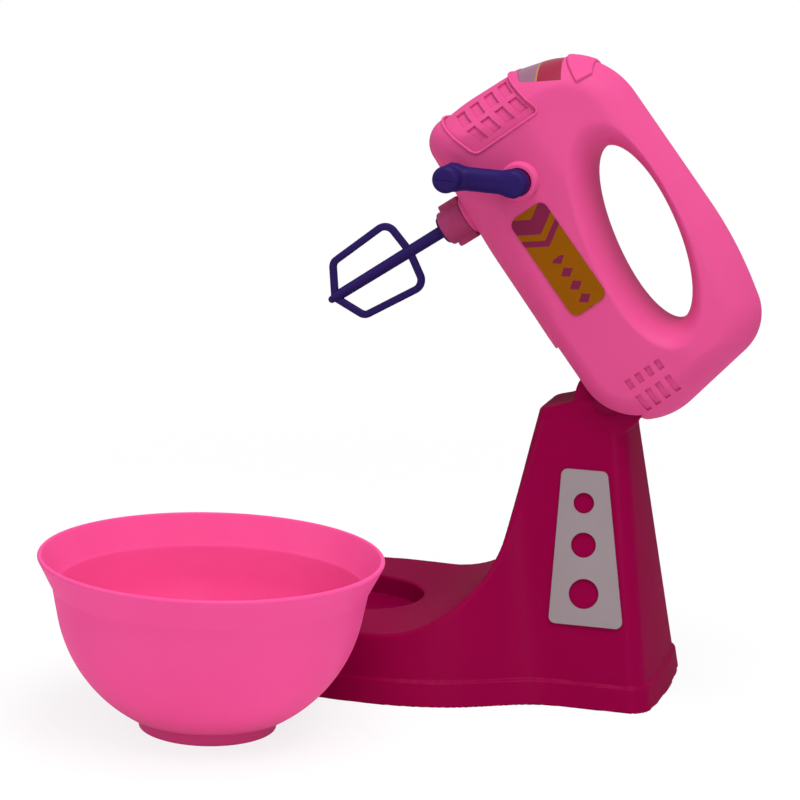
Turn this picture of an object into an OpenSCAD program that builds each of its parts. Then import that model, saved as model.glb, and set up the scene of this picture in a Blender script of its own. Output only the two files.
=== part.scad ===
// Toy stand mixer: a stand, a hand-cranked mixer head that tips back on it, and a loose bowl.
// Millimetres, Z up. The nose points to -X, the crank is on the -Y side, and the origin is on the
// floor at the middle of the stand. The head is drawn level in its own frame and tipped into place.

/* [Stand] */
// Height of the platform's top
platform_h = 30; // [28:0.5:32]
// Half width of the platform at the floor
platform_half_w = 75.6; // [72:0.2:80]
// Distance from the origin to the platform's front end
platform_front = 106; // [102:1:110]
// X of the platform's widest place
platform_mid_x = -32; // [-36:1:-28]
// Length of the platform's curve behind its widest place
platform_rear = 92; // [88:1:96]
// Squareness of the platform's outline, where 2 is an ellipse
platform_power = 2.3; // [2:0.1:2.6]
// Inward lean of the platform's wall for each millimetre of height
platform_lean = 0.235; // [0.2:0.005:0.26]
// Extra lean of the platform's rear curve for each millimetre of height
tail_lean = 0.05; // [0:0.01:0.1]
// Radius of the hollow curve where the platform runs up into the column
fillet_r = 52; // [48:1:56]
// Wall thickness of the stand
stand_wall = 2.4; // [2:0.1:3]
// Height of the raised skirt at the floor
skirt_h = 11; // [9:0.5:13]
// How far the skirt stands out
skirt_t = 1.4; // [1:0.1:2]
// Depth of the bowl's seat in the platform
seat_depth = 10; // [8:0.5:11]
// X of the middle of the bowl's seat
seat_x = -46; // [-48:1:-44]
// Thickness of the bottom cover
base_t = 2.5; // [2:0.1:3]

/* [Column] */
// Height of the column's flat top
column_h = 131; // [129:0.5:132]
// X of the column's front at its top
column_top_front = 42.4; // [41:0.2:44]
// X of the column's back at its top
column_top_rear = 80.2; // [79:0.2:81]
// Forward slope of the column's front for each millimetre of height
front_slope = 0.18; // [0.16:0.005:0.2]
// Slope of the column's back for each millimetre of height
rear_slope = 0.165; // [0.15:0.005:0.18]
// Half width of the column at its top
column_top_half_w = 18.5; // [18:0.1:19]
// Half width of the column at the floor
column_foot_half_w = 45.4; // [44:0.2:47]
// How fast the column narrows towards its back
column_taper = 0.06; // [0.03:0.01:0.07]
// Radius of the column's upright corners
column_corner_r = 7; // [6:0.5:8]
// How far the column's back bows out at the floor
rear_bow = 3; // [2:0.5:4]
// Height of the side panels' lower edge
panel_low = 36.5; // [34:0.5:39]
// Height of the side panels' upper edge
panel_high = 105.5; // [103:0.5:108]
// Width of a side panel at its lower edge
panel_low_w = 33.5; // [31:0.5:36]
// Width of a side panel at its upper edge
panel_high_w = 21.5; // [20:0.5:24]
// Thickness of the side panels
panel_t = 1; // [0.8:0.1:1.5]

/* [Hinge] */
// X of the hinge axis
hinge_x = 73.5; // [73:0.1:74]
// Height of the hinge axis above the column's top
hinge_rise = 6.7; // [6.4:0.1:7]
// Backward tilt of the head as it stands here
tilt = 51.5; // [48:0.5:54]
// Radius of the round neck on the column
neck_r = 16; // [15.4:0.1:16.2]
// Half width of the neck
neck_half_w = 17.8; // [17:0.1:18]
// Radius of the hinge pin
hinge_pin_r = 3; // [2.5:0.1:3.5]
// Wall of the sleeve round the hinge pin
hinge_bush_t = 2; // [1.5:0.1:2.5]
// Depth of the hinge pin in each cheek of the head
hinge_grip = 2.2; // [2:0.1:2.5]

/* [Head] */
// Length of the head from its nose to the hinge axis
head_front = 150; // [148:0.5:152]
// Height of the head's top above its underside at the hinge
head_top = 95.9; // [95:0.1:97]
// Half width of the head's body
head_half_w = 26.5; // [25.5:0.1:27.5]
// Half width of the head at its top
grip_half_w = 15.5; // [14:0.5:18]
// Depth of the rounding along the head's edges
edge_r = 14; // [12:0.5:16]
// Extra depth of the rounding at the nose
nose_r = 8; // [6:0.5:10]
// Wall thickness of the head
head_wall = 2.2; // [1.8:0.1:2.6]
// Half length of the hand hole
hole_a = 41.4; // [39:0.2:43]
// Half height of the hand hole
hole_b = 15.6; // [14:0.2:17]
// Slope of the hand hole, in degrees, with its front end up
hole_slope = 11.4; // [9:0.2:13]
// Half width of the narrowest part of the hand hole's wall
hole_waist = 5.5; // [4.5:0.5:6.5]
// Depth of the rounding round the hand hole
hole_round = 6; // [5:0.5:7]

/* [Crank] */
// Height of the crank's axis above the head's underside at the hinge
crank_rise = 35.5; // [35:0.1:36]
// Distance of the crank's axis in front of the hinge axis
crank_ahead = 103.6; // [102:0.2:105]
// Length of the crank arm between axes
crank_throw = 28.5; // [27:0.1:30]
// Direction of the crank arm in the level head, from the back, in degrees
crank_angle = 229.6; // [226:0.2:232]
// Radius of the crank's shaft
crank_shaft_r = 4; // [3.5:0.1:4.4]
// Radius of the crank's hub
crank_hub_r = 6.1; // [5.8:0.1:6.6]
// Width of the crank arm
crank_arm_w = 10.6; // [9:0.2:11]
// Thickness of the crank arm
crank_arm_t = 9; // [8:0.2:10]
// Length of the knob
knob_l = 9; // [8:0.5:12]
// Radius of the knob at its end
knob_r = 6.1; // [5.8:0.1:6.6]

/* [Drive] */
// Forward rake of the beater's axis in the level head
rake = 3.8; // [3:0.2:5]
// Teeth on the pinion
pinion_teeth = 12; // [12:1:12]
// Teeth on the crown gear
crown_teeth = 36; // [36:1:36]
// Pitch radius of the pinion
pinion_r = 5; // [4.8:0.1:5.2]
// Width of the pinion's teeth
pinion_w = 4; // [3.6:0.1:4.4]
// Radius of the spindle
spindle_r = 4.6; // [4.3:0.1:4.9]
// Distance from the crank's axis down to the collar's top
collar_top = 35.7; // [35.4:0.1:36]
// Length of the collar
collar_l = 12.8; // [12:0.2:13.4]
// Radius of the collar
collar_r = 8.2; // [7.8:0.1:8.6]
// Radius of the collar over its ribs
rib_r = 10.6; // [10.2:0.1:11]
// Width of the collar's ribs
rib_w = 6; // [5:0.5:7]
// Length of the collar below its ribs
rib_short = 2.6; // [2:0.2:3.2]

/* [Beater] */
// Radius of the beater's stem
stem_r = 2.5; // [2.2:0.1:2.7]
// Distance from the crank's axis down to the beater's tip
beater_tip = 115.6; // [113:0.2:118]
// Height of the beater's loop
loop_h = 48.4; // [46:0.2:50]
// Half width of the loop at its top
loop_top_w = 18.8; // [17.6:0.2:20]
// Half width of the loop at its lower corners
loop_low_w = 16.2; // [15:0.2:17.4]
// Height of the loop's lower corners above the tip
loop_low_h = 10.4; // [9:0.2:12]
// Width of the loop's bar
bar_w = 3.2; // [2.8:0.1:3.6]
// Thickness of the loop's bar
bar_t = 3; // [2.6:0.1:3.4]
// Thickness of the flange under the collar
flange_t = 1.2; // [1:0.1:1.6]
// Radius of the flange under the collar
flange_r = 6.6; // [6:0.1:7.2]

/* [Button] */
// Width of the thumb block across its travel
button_l = 11.4; // [10.5:0.1:12]
// How far the thumb block stands out
button_out = 1.2; // [1:0.1:1.5]
// Depth to which the thumb block wraps down the sides
button_wrap = 9.2; // [8.4:0.2:10]
// Travel of the thumb block
button_travel = 2; // [1.5:0.1:2.2]
// Turns of the spring
spring_turns = 5; // [4:1:6]

/* [Bowl] */
// X of the bowl's middle
bowl_x = -74.5; // [-76:0.5:-72]
// Y of the bowl's middle
bowl_y = -131; // [-134:0.5:-130]
// Radius of the bowl's rim
bowl_r = 75; // [73:0.5:77]
// Height of the bowl
bowl_h = 77; // [75:0.5:79]
// Radius of the bowl's foot
foot_r = 30.6; // [29:0.2:31.5]
// Height of the bowl's foot
foot_h = 7; // [6:0.5:8]
// Wall thickness of the bowl
bowl_wall = 2; // [1.6:0.1:2.4]

/* [Labels and screws] */
// Thickness of a printed label
label_t = 0.4; // [0.3:0.1:0.5]
// Length of a side label
label_l = 52; // [48:1:54]
// Height of a side label
label_h = 19; // [17:0.5:20]
// Radius of a screw's thread
screw_r = 1.5; // [1.3:0.1:1.7]
// Radius of a screw's head
screw_head_r = 2.9; // [2.6:0.1:3.1]

/* [Fits] */
// Gap of a shaft in its bearing, on the radius
run_gap = 0.05; // [0.03:0.01:0.08]
// Gap between a fixed piece and its seat
seat_gap = 0.1; // [0.05:0.05:0.15]
// Gap round a piece that moves in an opening
move_gap = 0.4; // [0.3:0.05:0.5]

/* [Hidden] */
$fn = 48;
thin = 0.02;

// Colours of the mouldings
pink = "hotpink";
magenta = [0.58, 0.02, 0.28];
violet = [0.16, 0.1, 0.38];
steel = "silver";
ochre = [0.62, 0.4, 0.05];
pale = [0.82, 0.8, 0.79];

// Stand: where the loft of the platform ends inside the column, and the column's plan
loft_h = 72;
neck_rise = 25;
neck_depth = 14;
seat_r = foot_r + move_gap;
hinge_bush_r = hinge_pin_r + hinge_bush_t;
hinge_boss_r = 9;
washer_r = hinge_rise - move_gap;
column_mid_x = 65;
column_lean = (column_foot_half_w - column_top_half_w) / column_h;
taper_angle = atan(column_taper);
function column_front(z) = column_top_front - front_slope * (column_h - z);
function column_rear(z) = column_top_rear + rear_slope * (column_h - z);
function column_half_w(x, z) = column_foot_half_w - column_taper * (x - column_mid_x) - column_lean * z;
bow_steps = [-0.5, 0, 0.5];
function bow_at(s, z) = rear_bow * (1 - s * s) * (1 - column_lean * z / column_foot_half_w);

// Places of the screws under the stand, as [x, y]
base_screw_at = [[-92, 0], [-28, 50], [-28, -50], [84, 27], [84, -27]];
base_boss_r = 4;
base_screw_l = 10;
screw_head_t = 1.2;

// Side panels: middle of the panel from the column's, and its holes as [along, height, radius]
panel_shift = 4.7;
panel_skew = 2.8;
panel_corner_r = 3;
panel_holes = [[-2.2, 90.8, 4.7], [-0.8, 72.2, 5.7], [1.1, 50.6, 6.8]];

// Head frame: origin under the hinge on the head's underside datum, nose towards -X
hinge_hx = -0.6;
hinge_hz = 10;
head_bottom = 0;
top_z = head_bottom + head_top;
nose_x = hinge_hx - head_front;
slot_half_w = neck_half_w + 2.4;
hinge_z = column_h + hinge_rise;
slot_room = 1.5;
slot_ahead = hinge_x - column_top_front + slot_room;
slot_behind = 22;
slot_low = 20;
slot_high = 7.5;

// Corners of the head's outline, as [x, z, radius]
head_corners = [
    [27, head_bottom, 28], [13.1, top_z - 9.8, 23], [-28, top_z, 110], [nose_x + 14.8, top_z, 37],
    [nose_x + 2.5, 56, 60], [nose_x + 0.8, 30, 80], [nose_x + 1.8, head_bottom + 4, 12],
    [-85, head_bottom, 200]];

// Spine towards which the head's outline shrinks, and where its sides begin to lean in
spine_z = 45;
spine_front = -116;
spine_rear = -20;
lean_z = 53;
across = 3 * head_half_w;
ring_count = 6;
core = 0.86;

// Hand hole in the head frame
hole_x = -54.5;
hole_z = 63.9;
hole_points = 56;

// Drive frame: origin on the crank's axis, with the beater along -Z
crank_hx = hinge_hx - crank_ahead;
crank_hz = head_bottom + crank_rise;
gear_ratio = crown_teeth / pinion_teeth;
crown_r = pinion_r * gear_ratio;
tooth_pitch = 2 * PI * pinion_r / pinion_teeth;
tooth_up = 0.28 * tooth_pitch;
tooth_down = 0.36 * tooth_pitch;
crown_face_y = -pinion_r - tooth_down;
crown_back_y = crown_face_y - 3.4;
shaft_end = -crown_face_y + 0.3;
gear_screw_r = 1.2;
gear_screw_l = 9;
tooth_l = 2.6;
tip_half = 0.1 * tooth_pitch;
root_half = 0.3 * tooth_pitch;
boss_r = 8.6;
boss_y = head_half_w + 3.5;
crank_bush_r = crank_shaft_r + 2.2;
crank_bush_in = 14;
bush_flange_t = 1.5;
hub_y = boss_y + 0.4;
arm_y = hub_y + 1.5;
knob_y = arm_y + crank_arm_t + 0.4;
knob_pin_r = 2;
spindle_bush_r = spindle_r + 2.4;
spindle_bush_l = 11;
bush_low = collar_top - 0.8;
bush_high = bush_low - spindle_bush_l;
clip_t = 1;
clip_gap = 0.2;
pinion_shaft_r = 2.6;
spindle_top = bush_high - 2 * clip_t - 1;
pinion_low = crown_r + pinion_w / 2;
pinion_high = crown_r - pinion_w / 2;
nose_floor_r = spindle_bush_r + 2.4;
socket_r = stem_r + 0.7;
socket_depth = 17;
collar_low = collar_top + collar_l;

// Thumb block frame: origin on the nose's upper round, Z outwards
button_lean = 70;
button_x = nose_x + 16.8;
button_z = top_z - 10.1;
button_half_w = 5;
button_step = 2;
button_root = 1;
flange_drop = 9;
flange_over = 1.2;
flange_thick = 1.5;
spring_r = 3.6;
spring_wire = 0.5;
spring_l = 8;
spring_low = flange_drop + flange_thick + seat_gap + spring_l;
shelf_t = 2.5;

// Screws that join the half shells, as [x, z] in the head frame
housing_screw_at = [[-139, 14], [-108, 88.5], [3, 76], [-60, 18]];
housing_boss_r = 3.6;
housing_seat_y = 7;

// Side labels and the label on the nose's slope, in the head frame
label_x = -65.8;
label_z = 30;
front_label_low = 59;
front_label_high = 80;
front_label_depth = 0.8;

// Bowl: where the flared band begins, the ledge over the foot, and the round between side and ledge as
// [r, z, radius]
band_r = bowl_r - 6.7;
band_z = bowl_h - 14;
band_step = 0.6;
bowl_spread = band_r - foot_r;
bowl_ledge = 0.143 * bowl_spread;
bowl_corner = [foot_r + 0.798 * bowl_spread, foot_h + 0.42 * bowl_spread, 1.72 * bowl_spread];
inner_corner = bowl_corner + bowl_wall * [-0.9, 0.61, -1];

// Outline of a closed corner list, each corner replaced by its arc
function unit(v) = v / norm(v);
function corner_arc(p, c, n) =
    let (u = unit([p.x - c.x, p.y - c.y]), v = unit([n.x - c.x, n.y - c.y]))
    let (half = acos(u * v) / 2, mid = [c.x, c.y] + unit(u + v) * c.z / sin(half))
    let (from = [c.x, c.y] + u * c.z / tan(half) - mid, turn = 180 - 2 * half)
    let (side = sign(u.x * v.y - u.y * v.x), first = atan2(from.y, from.x))
    let (steps = max(2, ceil(turn / 10)))
    [for (i = [0 : steps]) let (a = first - side * turn * i / steps) mid + c.z * [cos(a), sin(a)]];
function outline(corners) =
    let (n = len(corners))
    [for (i = [0 : n - 1]) each corner_arc(corners[(i + n - 1) % n], corners[i], corners[(i + 1) % n])];

// Half of the head as a closed surface of rings, each nearer to the spine and farther out in Y
head_outline = outline(head_corners);
function spine_of(p) = [min(max(p.x, spine_front), spine_rear), spine_z];
function width_at(z) =
    z < lean_z ? head_half_w : head_half_w - (head_half_w - grip_half_w) * (z - lean_z) / (top_z - lean_z);
function head_ring(k, grow) =
    let (a = 90 * min(k, ring_count) / ring_count)
    [for (p = head_outline)
        let (to_spine = spine_of(p) - p, far = norm(to_spine), dir = to_spine / far)
        let (depth = edge_r + nose_r * (pow(max(dir.x, 0), 2) + pow(max(dir.y, 0), 2) * front_share(p.x)))
        let (inset = k > ring_count ? core * far : -grow + (depth + grow) * (1 - cos(a)))
        let (q = p + dir * inset)
        [q.x, (width_at(q.y) + grow) * sin(a), q.y]];
function front_share(x) = min(max((spine_rear - 20 - x) / 40, 0), 1);
function flat_ring(ring, y) = [for (p = ring) [p.x, y, p.z]];
function band(k, n) =
    [for (i = [0 : n - 1]) let (j = (i + 1) % n) each [[k * n + i, k * n + j, k * n + n + i],
        [k * n + j, k * n + n + j, k * n + n + i]]];
module rings_solid(rings) {
    n = len(rings[0]);
    last = len(rings) - 1;
    polyhedron(
        points = [for (ring = rings) each ring],
        faces = [[for (i = [n - 1 : -1 : 0]) i], for (k = [0 : last - 1]) each band(k, n),
            [for (i = [0 : n - 1]) last * n + i]],
        convexity = 8);
}
module head_half(grow, below = 0) {
    rings = [for (k = [0 : ring_count + 1]) head_ring(k, grow)];
    rings_solid(below > 0 ? [flat_ring(rings[0], -below), each rings] : rings);
}

// Flared plug that cuts the hand hole through one half
function hole_ring(a, b, y) =
    [for (i = [0 : hole_points - 1])
        let (t = 360 * i / hole_points, x = a * cos(t), z = b * sin(t))
        [hole_x + x * cos(hole_slope) + z * sin(hole_slope), y,
            hole_z - x * sin(hole_slope) + z * cos(hole_slope)]];
module hole_plug(grow) {
    flare = head_half_w + 0.3 - hole_waist;
    steps = 5;
    rings_solid([hole_ring(hole_a + grow, hole_b + grow, -1),
        for (i = [0 : steps]) let (a = 90 * i / steps, out = grow + hole_round * (1 - cos(a)))
            hole_ring(hole_a + out, hole_b + out, hole_waist + flare * sin(a)),
        hole_ring(hole_a + grow + hole_round, hole_b + grow + hole_round, head_half_w + 3)]);
}

// Frames
module in_head()
    translate([hinge_x, 0, hinge_z]) rotate([0, tilt, 0]) translate([-hinge_hx, 0, -hinge_hz]) children();
module in_drive() in_head() translate([crank_hx, 0, crank_hz]) rotate([0, rake, 0]) children();
module in_button() translate([button_x, 0, button_z]) rotate([0, -button_lean, 0]) children();
module along_y(from, to, r) translate([0, to, 0]) rotate([90, 0, 0]) cylinder(r = r, h = to - from);
module down_z(from, to, r) translate([0, 0, -to]) cylinder(r = r, h = to - from);
module at_housing_screws() for (p = housing_screw_at) translate([p.x, 0, p.y]) children();
module at_base_screws() for (p = base_screw_at) translate([p.x, p.y, 0]) children();

// Stand
module platform_outline(inset, z = 0) {
    power = 2 / platform_power;
    rear = platform_rear - tail_lean * z;
    polygon([for (i = [0 : 5 : 355])
        let (c = cos(i), s = sin(i), reach = c < 0 ? platform_front + platform_mid_x : rear)
        [platform_mid_x + sign(c) * pow(abs(c), power) * (reach - inset),
            sign(s) * pow(abs(s), power) * (platform_half_w - inset)]]);
}
module platform_loft(inset) {
    hull() {
        linear_extrude(thin) platform_outline(inset);
        translate([0, 0, loft_h]) linear_extrude(thin)
            platform_outline(inset + platform_lean * loft_h, loft_h);
    }
}
module platform_profile(inset) {
    top = platform_h - inset;
    lean = atan(front_slope);
    mid_x = column_front(top) + inset - fillet_r * tan((90 - lean) / 2);
    front = -platform_front - 20;
    rear = column_rear(loft_h);
    rotate([90, 0, 0]) linear_extrude(3 * platform_half_w, center = true)
        polygon([[front, -1], [front, top],
            for (i = [0 : 8]) let (a = -90 + (90 - lean) * i / 8)
                [mid_x + fillet_r * cos(a), top + fillet_r + fillet_r * sin(a)],
            [column_front(loft_h + 5) + inset, loft_h + 5], [rear, loft_h + 5], [rear, -1]]);
}
module column_posts(z, inset) {
    r = column_corner_r;
    for (x = [column_front(z) + r, column_rear(z) - r], s = [-1, 1])
        translate([x, s * (column_half_w(x, z) - r / cos(taper_angle)), z])
            cylinder(r = r - inset, h = thin, $fn = 32);
    for (s = bow_steps)
        translate([column_rear(z) + bow_at(s, z) - r, s * column_half_w(column_rear(z), z), z])
            cylinder(r = r - inset, h = thin, $fn = 32);
}
module column_loft(inset, top) {
    hull() {
        column_posts(0, inset);
        column_posts(top - thin, inset);
    }
}
module stand_form(inset, top) {
    intersection() {
        platform_loft(inset);
        platform_profile(inset);
    }
    column_loft(inset, top);
}
module stand_skirt() {
    linear_extrude(skirt_h) platform_outline(-skirt_t);
    hull() {
        column_posts(0, -skirt_t);
        column_posts(skirt_h, -skirt_t);
    }
}
module stand_neck() {
    rotate([90, 0, 0]) linear_extrude(2 * neck_half_w, center = true)
        polygon([[column_top_front + 4, column_h - 3], [column_top_front + 5.5, column_h + 2.6],
            [hinge_x - neck_r * cos(neck_rise), hinge_z + neck_r * sin(neck_rise)], [hinge_x, hinge_z],
            [column_top_rear - 2, column_h], [column_top_rear - 2, column_h - 3]]);
    translate([hinge_x, 0, hinge_z]) along_y(-neck_half_w, neck_half_w, neck_r);
}
module stand_shell() {
    color(magenta) difference() {
        union() {
            difference() {
                union() {
                    stand_form(0, column_h);
                    stand_skirt();
                }
                translate([0, 0, -thin]) stand_form(stand_wall, column_h - neck_depth);
            }
            stand_neck();
            translate([seat_x, 0, platform_h - seat_depth - stand_wall])
                cylinder(r = seat_r + stand_wall, h = seat_depth + stand_wall / 2);
            intersection() {
                stand_form(stand_wall / 2, column_h);
                translate([0, 0, base_t]) at_base_screws() cylinder(r = base_boss_r, h = loft_h);
            }
        }
        translate([seat_x, 0, platform_h - seat_depth]) cylinder(r = seat_r, h = seat_depth + 1);
        translate([0, 0, -1]) base_outline(0, base_t + 1);
        translate([0, 0, -1]) at_base_screws() cylinder(r = screw_r + run_gap, h = base_t + base_screw_l + 1);
        translate([hinge_x, 0, hinge_z]) along_y(-neck_half_w - 1, neck_half_w + 1, hinge_bush_r + run_gap);
    }
}
module base_outline(inset, h) {
    off = stand_wall / 2 + inset;
    x = [column_front(0) + 2 * column_corner_r, column_rear(0) - column_corner_r, column_rear(0) - off];
    rear_w = column_half_w(x[1], 0);
    y = [column_half_w(x[0], 0) - off, rear_w - off, rear_w - column_corner_r];
    linear_extrude(h) platform_outline(off);
    linear_extrude(h) polygon([for (i = [0 : 2]) [x[i], -y[i]],
        for (s = bow_steps) [x[2] + bow_at(s, 0), s * column_half_w(x[2], 0)],
        for (i = [2 : -1 : 0]) [x[i], y[i]]]);
}
module base_plate() {
    color(magenta) difference() {
        base_outline(seat_gap, base_t);
        at_base_screws() translate([0, 0, -1]) cylinder(r = screw_r + seat_gap, h = base_t + 2);
        at_base_screws() translate([0, 0, -1])
            cylinder(r = screw_head_r + seat_gap, h = 1 + screw_head_t + 0.3);
    }
}
module base_screws() {
    color(steel) at_base_screws() {
        translate([0, 0, 0.2]) cylinder(r = screw_head_r, h = screw_head_t);
        translate([0, 0, 0.2]) cylinder(r = screw_r, h = base_t + base_screw_l - 0.5);
    }
}

// A plate lying on the column's near wall, drawn in the wall's own plane
module on_wall() {
    span = sqrt(1 + column_taper * column_taper + column_lean * column_lean);
    translate([column_mid_x, -column_half_w(column_mid_x, 0), 0])
        rotate([0, 0, taper_angle]) rotate([90 - asin(column_lean / span), 0, 0]) children();
}
module side_panel() {
    rise = 1 / cos(atan(column_lean));
    low = panel_low * rise;
    high = panel_high * rise;
    color(pale) on_wall() translate([0, 0, run_gap]) difference() {
        linear_extrude(panel_t) panel_outline(low, high);
        for (h = panel_holes)
            translate([h.x + panel_shift, h.y * rise, -1]) cylinder(r = h.z, h = panel_t + 2);
    }
}
module panel_outline(low, high) {
    r = panel_corner_r;
    hull() for (s = [-1, 1]) {
        translate([panel_shift + panel_skew + s * (panel_low_w / 2 - r), low + r]) circle(r, $fn = 32);
        translate([panel_shift - panel_skew + s * (panel_high_w / 2 - r), high - r]) circle(r, $fn = 32);
    }
}
module side_panel_near() side_panel();
module side_panel_far() mirror([0, 1, 0]) side_panel();

// Hinge
module hinge_bush() {
    color(pale) translate([hinge_x, 0, hinge_z]) difference() {
        along_y(-neck_half_w, neck_half_w, hinge_bush_r);
        along_y(-neck_half_w - 1, neck_half_w + 1, hinge_pin_r + run_gap);
    }
}
module hinge_washers() {
    color(pale) translate([hinge_x, 0, hinge_z]) for (s = [0, 1]) mirror([0, s, 0]) difference() {
        along_y(neck_half_w + run_gap, slot_half_w - run_gap, washer_r);
        along_y(0, slot_half_w + 1, hinge_pin_r + run_gap);
    }
}
module hinge_pin() {
    reach = slot_half_w + hinge_grip - seat_gap;
    color(steel) translate([hinge_x, 0, hinge_z]) along_y(-reach, reach, hinge_pin_r);
}

// Head shells
module slot_form(grow) {
    translate([hinge_hx, 0, hinge_hz]) {
        along_y(-1, slot_half_w + grow, neck_r + 0.7 + grow);
        translate([-slot_ahead - grow, -1, -slot_low])
            cube([slot_ahead + slot_behind + 2 * grow, slot_half_w + grow + 1, slot_low + slot_high + grow]);
    }
}
module nose_boss() {
    translate([crank_hx, 0, crank_hz]) rotate([0, rake, 0]) down_z(bush_high, collar_top, nose_floor_r);
}
module spring_shelf() {
    in_button() translate([-spring_r - 2, -1, -spring_low - shelf_t])
        cube([2 * spring_r + 4, head_half_w, shelf_t]);
}
module front_label_prism(grow) {
    translate([0, across / 2, 0]) rotate([90, 0, 0]) linear_extrude(across)
        polygon([[nose_x - 5, front_label_low - grow], [nose_x + 9.4, front_label_low - 1 - grow],
            [nose_x + 20 + grow, front_label_high - 4], [nose_x + 11 + grow, front_label_high + grow],
            [nose_x - 5, front_label_high + 9]]);
}
module button_prism(grow, deep) {
    in_button() translate([-button_l / 2 - grow, -across / 2, -deep])
        cube([button_l + 2 * grow, across, 2 * deep]);
}
module shell_form() {
    difference() {
        union() {
            difference() {
                head_half(0);
                difference() {
                    head_half(-head_wall, 1);
                    hole_plug(head_wall);
                }
            }
            intersection() {
                head_half(-head_wall / 2);
                union() {
                    slot_form(head_wall);
                    translate([hinge_hx, 0, hinge_hz]) along_y(slot_half_w, head_half_w, hinge_boss_r);
                    nose_boss();
                    spring_shelf();
                    at_housing_screws() along_y(0, head_half_w, housing_boss_r);
                }
            }
        }
        hole_plug(0);
        slot_form(0);
        button_prism(move_gap, button_wrap + button_travel + move_gap);
        difference() {
            front_label_prism(0);
            head_half(-front_label_depth, 1);
        }
        translate([hinge_hx, 0, hinge_hz]) along_y(-1, slot_half_w + hinge_grip, hinge_pin_r + run_gap);
        translate([crank_hx, 0, crank_hz]) rotate([0, rake, 0])
            down_z(bush_high - 1, collar_top + 5, spindle_bush_r + run_gap);
    }
}
module shell_left() {
    color(pink) in_head() difference() {
        union() {
            mirror([0, 1, 0]) shell_form();
            translate([crank_hx, 0, crank_hz]) along_y(-boss_y, -crank_bush_in - bush_flange_t, boss_r);
        }
        translate([crank_hx, 0, crank_hz]) along_y(-boss_y - 1, 0, crank_bush_r + run_gap);
        at_housing_screws() along_y(-housing_seat_y - 2, 1, screw_r + run_gap);
    }
}
module shell_right() {
    color(pink) in_head() difference() {
        shell_form();
        at_housing_screws() along_y(-1, housing_seat_y + 1, screw_r + seat_gap);
        at_housing_screws() along_y(housing_seat_y, head_half_w + 1, screw_head_r + seat_gap);
    }
}
module housing_screws() {
    color(steel) in_head() at_housing_screws() {
        along_y(housing_seat_y, housing_seat_y + screw_head_t, screw_head_r);
        along_y(-housing_seat_y - 1, housing_seat_y + screw_head_t, screw_r);
    }
}

// Crank
module crank_bush() {
    color(pale) in_drive() difference() {
        union() {
            along_y(-boss_y, -crank_bush_in, crank_bush_r);
            along_y(-crank_bush_in - bush_flange_t, -crank_bush_in, boss_r);
        }
        along_y(-boss_y - 1, 0, crank_shaft_r + run_gap);
    }
}
module at_knob()
    rotate([0, -rake - crank_angle, 0]) translate([crank_throw, 0, 0]) children();
module crank_arm() {
    color(violet) in_drive() difference() {
        union() {
            along_y(-arm_y, -shaft_end, crank_shaft_r);
            along_y(-arm_y - crank_arm_t, -hub_y, crank_hub_r);
            at_knob() along_y(-arm_y - crank_arm_t, -arm_y, knob_r);
            rotate([0, -rake - crank_angle, 0]) translate([0, -arm_y - crank_arm_t, -crank_arm_w / 2])
                cube([crank_throw, crank_arm_t, crank_arm_w]);
        }
        along_y(-shaft_end - gear_screw_l, 0, gear_screw_r + run_gap);
        at_knob() along_y(-arm_y - crank_arm_t - 1, -arm_y - 3, knob_pin_r + run_gap / 2);
    }
}
module knob_pin() {
    color(steel) in_drive() at_knob() along_y(-knob_y - knob_l + 4, -arm_y - 3 - seat_gap, knob_pin_r);
}
module crank_knob() {
    color(violet) in_drive() at_knob() difference() {
        rotate([90, 0, 0]) rotate_extrude() polygon([[0, knob_y], [knob_r - 0.8, knob_y],
            [knob_r, knob_y + 0.8], [knob_r, knob_y + knob_l - 2.5], [knob_r - 0.8, knob_y + knob_l - 0.8],
            [knob_r - 2.4, knob_y + knob_l], [0, knob_y + knob_l]]);
        along_y(-knob_y - knob_l + 3, -knob_y + 1, knob_pin_r + run_gap);
    }
}

// Gears
module crown_gear() {
    color(pale) in_drive() difference() {
        union() {
            along_y(crown_back_y, crown_face_y, crown_r + 2.2);
            along_y(-crank_bush_in + 0.3, crown_face_y, crank_shaft_r + 2.5);
            for (i = [0 : crown_teeth - 1]) rotate([0, 360 * i / crown_teeth, 0])
                translate([0, crown_face_y, -crown_r - tooth_l / 2]) linear_extrude(tooth_l)
                    polygon([[-root_half, -0.2], [root_half, -0.2], [tip_half, tooth_up + tooth_down - 0.2],
                        [-tip_half, tooth_up + tooth_down - 0.2]]);
        }
        along_y(-boss_y, 0, crank_shaft_r + run_gap / 2);
    }
}
module gear_screw() {
    color(steel) in_drive() {
        along_y(crown_face_y + seat_gap, crown_face_y + seat_gap + 1.4, crank_shaft_r + 1.2);
        along_y(-shaft_end - gear_screw_l + 0.5, crown_face_y + 1, gear_screw_r);
    }
}
module drive_pinion() {
    color(pale) in_drive() difference() {
        union() {
            translate([0, 0, -pinion_low]) linear_extrude(pinion_w) union() {
                circle(pinion_r - tooth_down);
                for (i = [0 : pinion_teeth - 1]) rotate(360 * (i + 0.5) / pinion_teeth)
                    polygon([[pinion_r - tooth_down - 0.3, -root_half], [pinion_r + tooth_up, -tip_half],
                        [pinion_r + tooth_up, tip_half], [pinion_r - tooth_down - 0.3, root_half]]);
            }
            down_z(pinion_low, spindle_top - seat_gap, pinion_r - tooth_down);
        }
        down_z(0, collar_top, pinion_shaft_r + run_gap / 2);
    }
}
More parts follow.
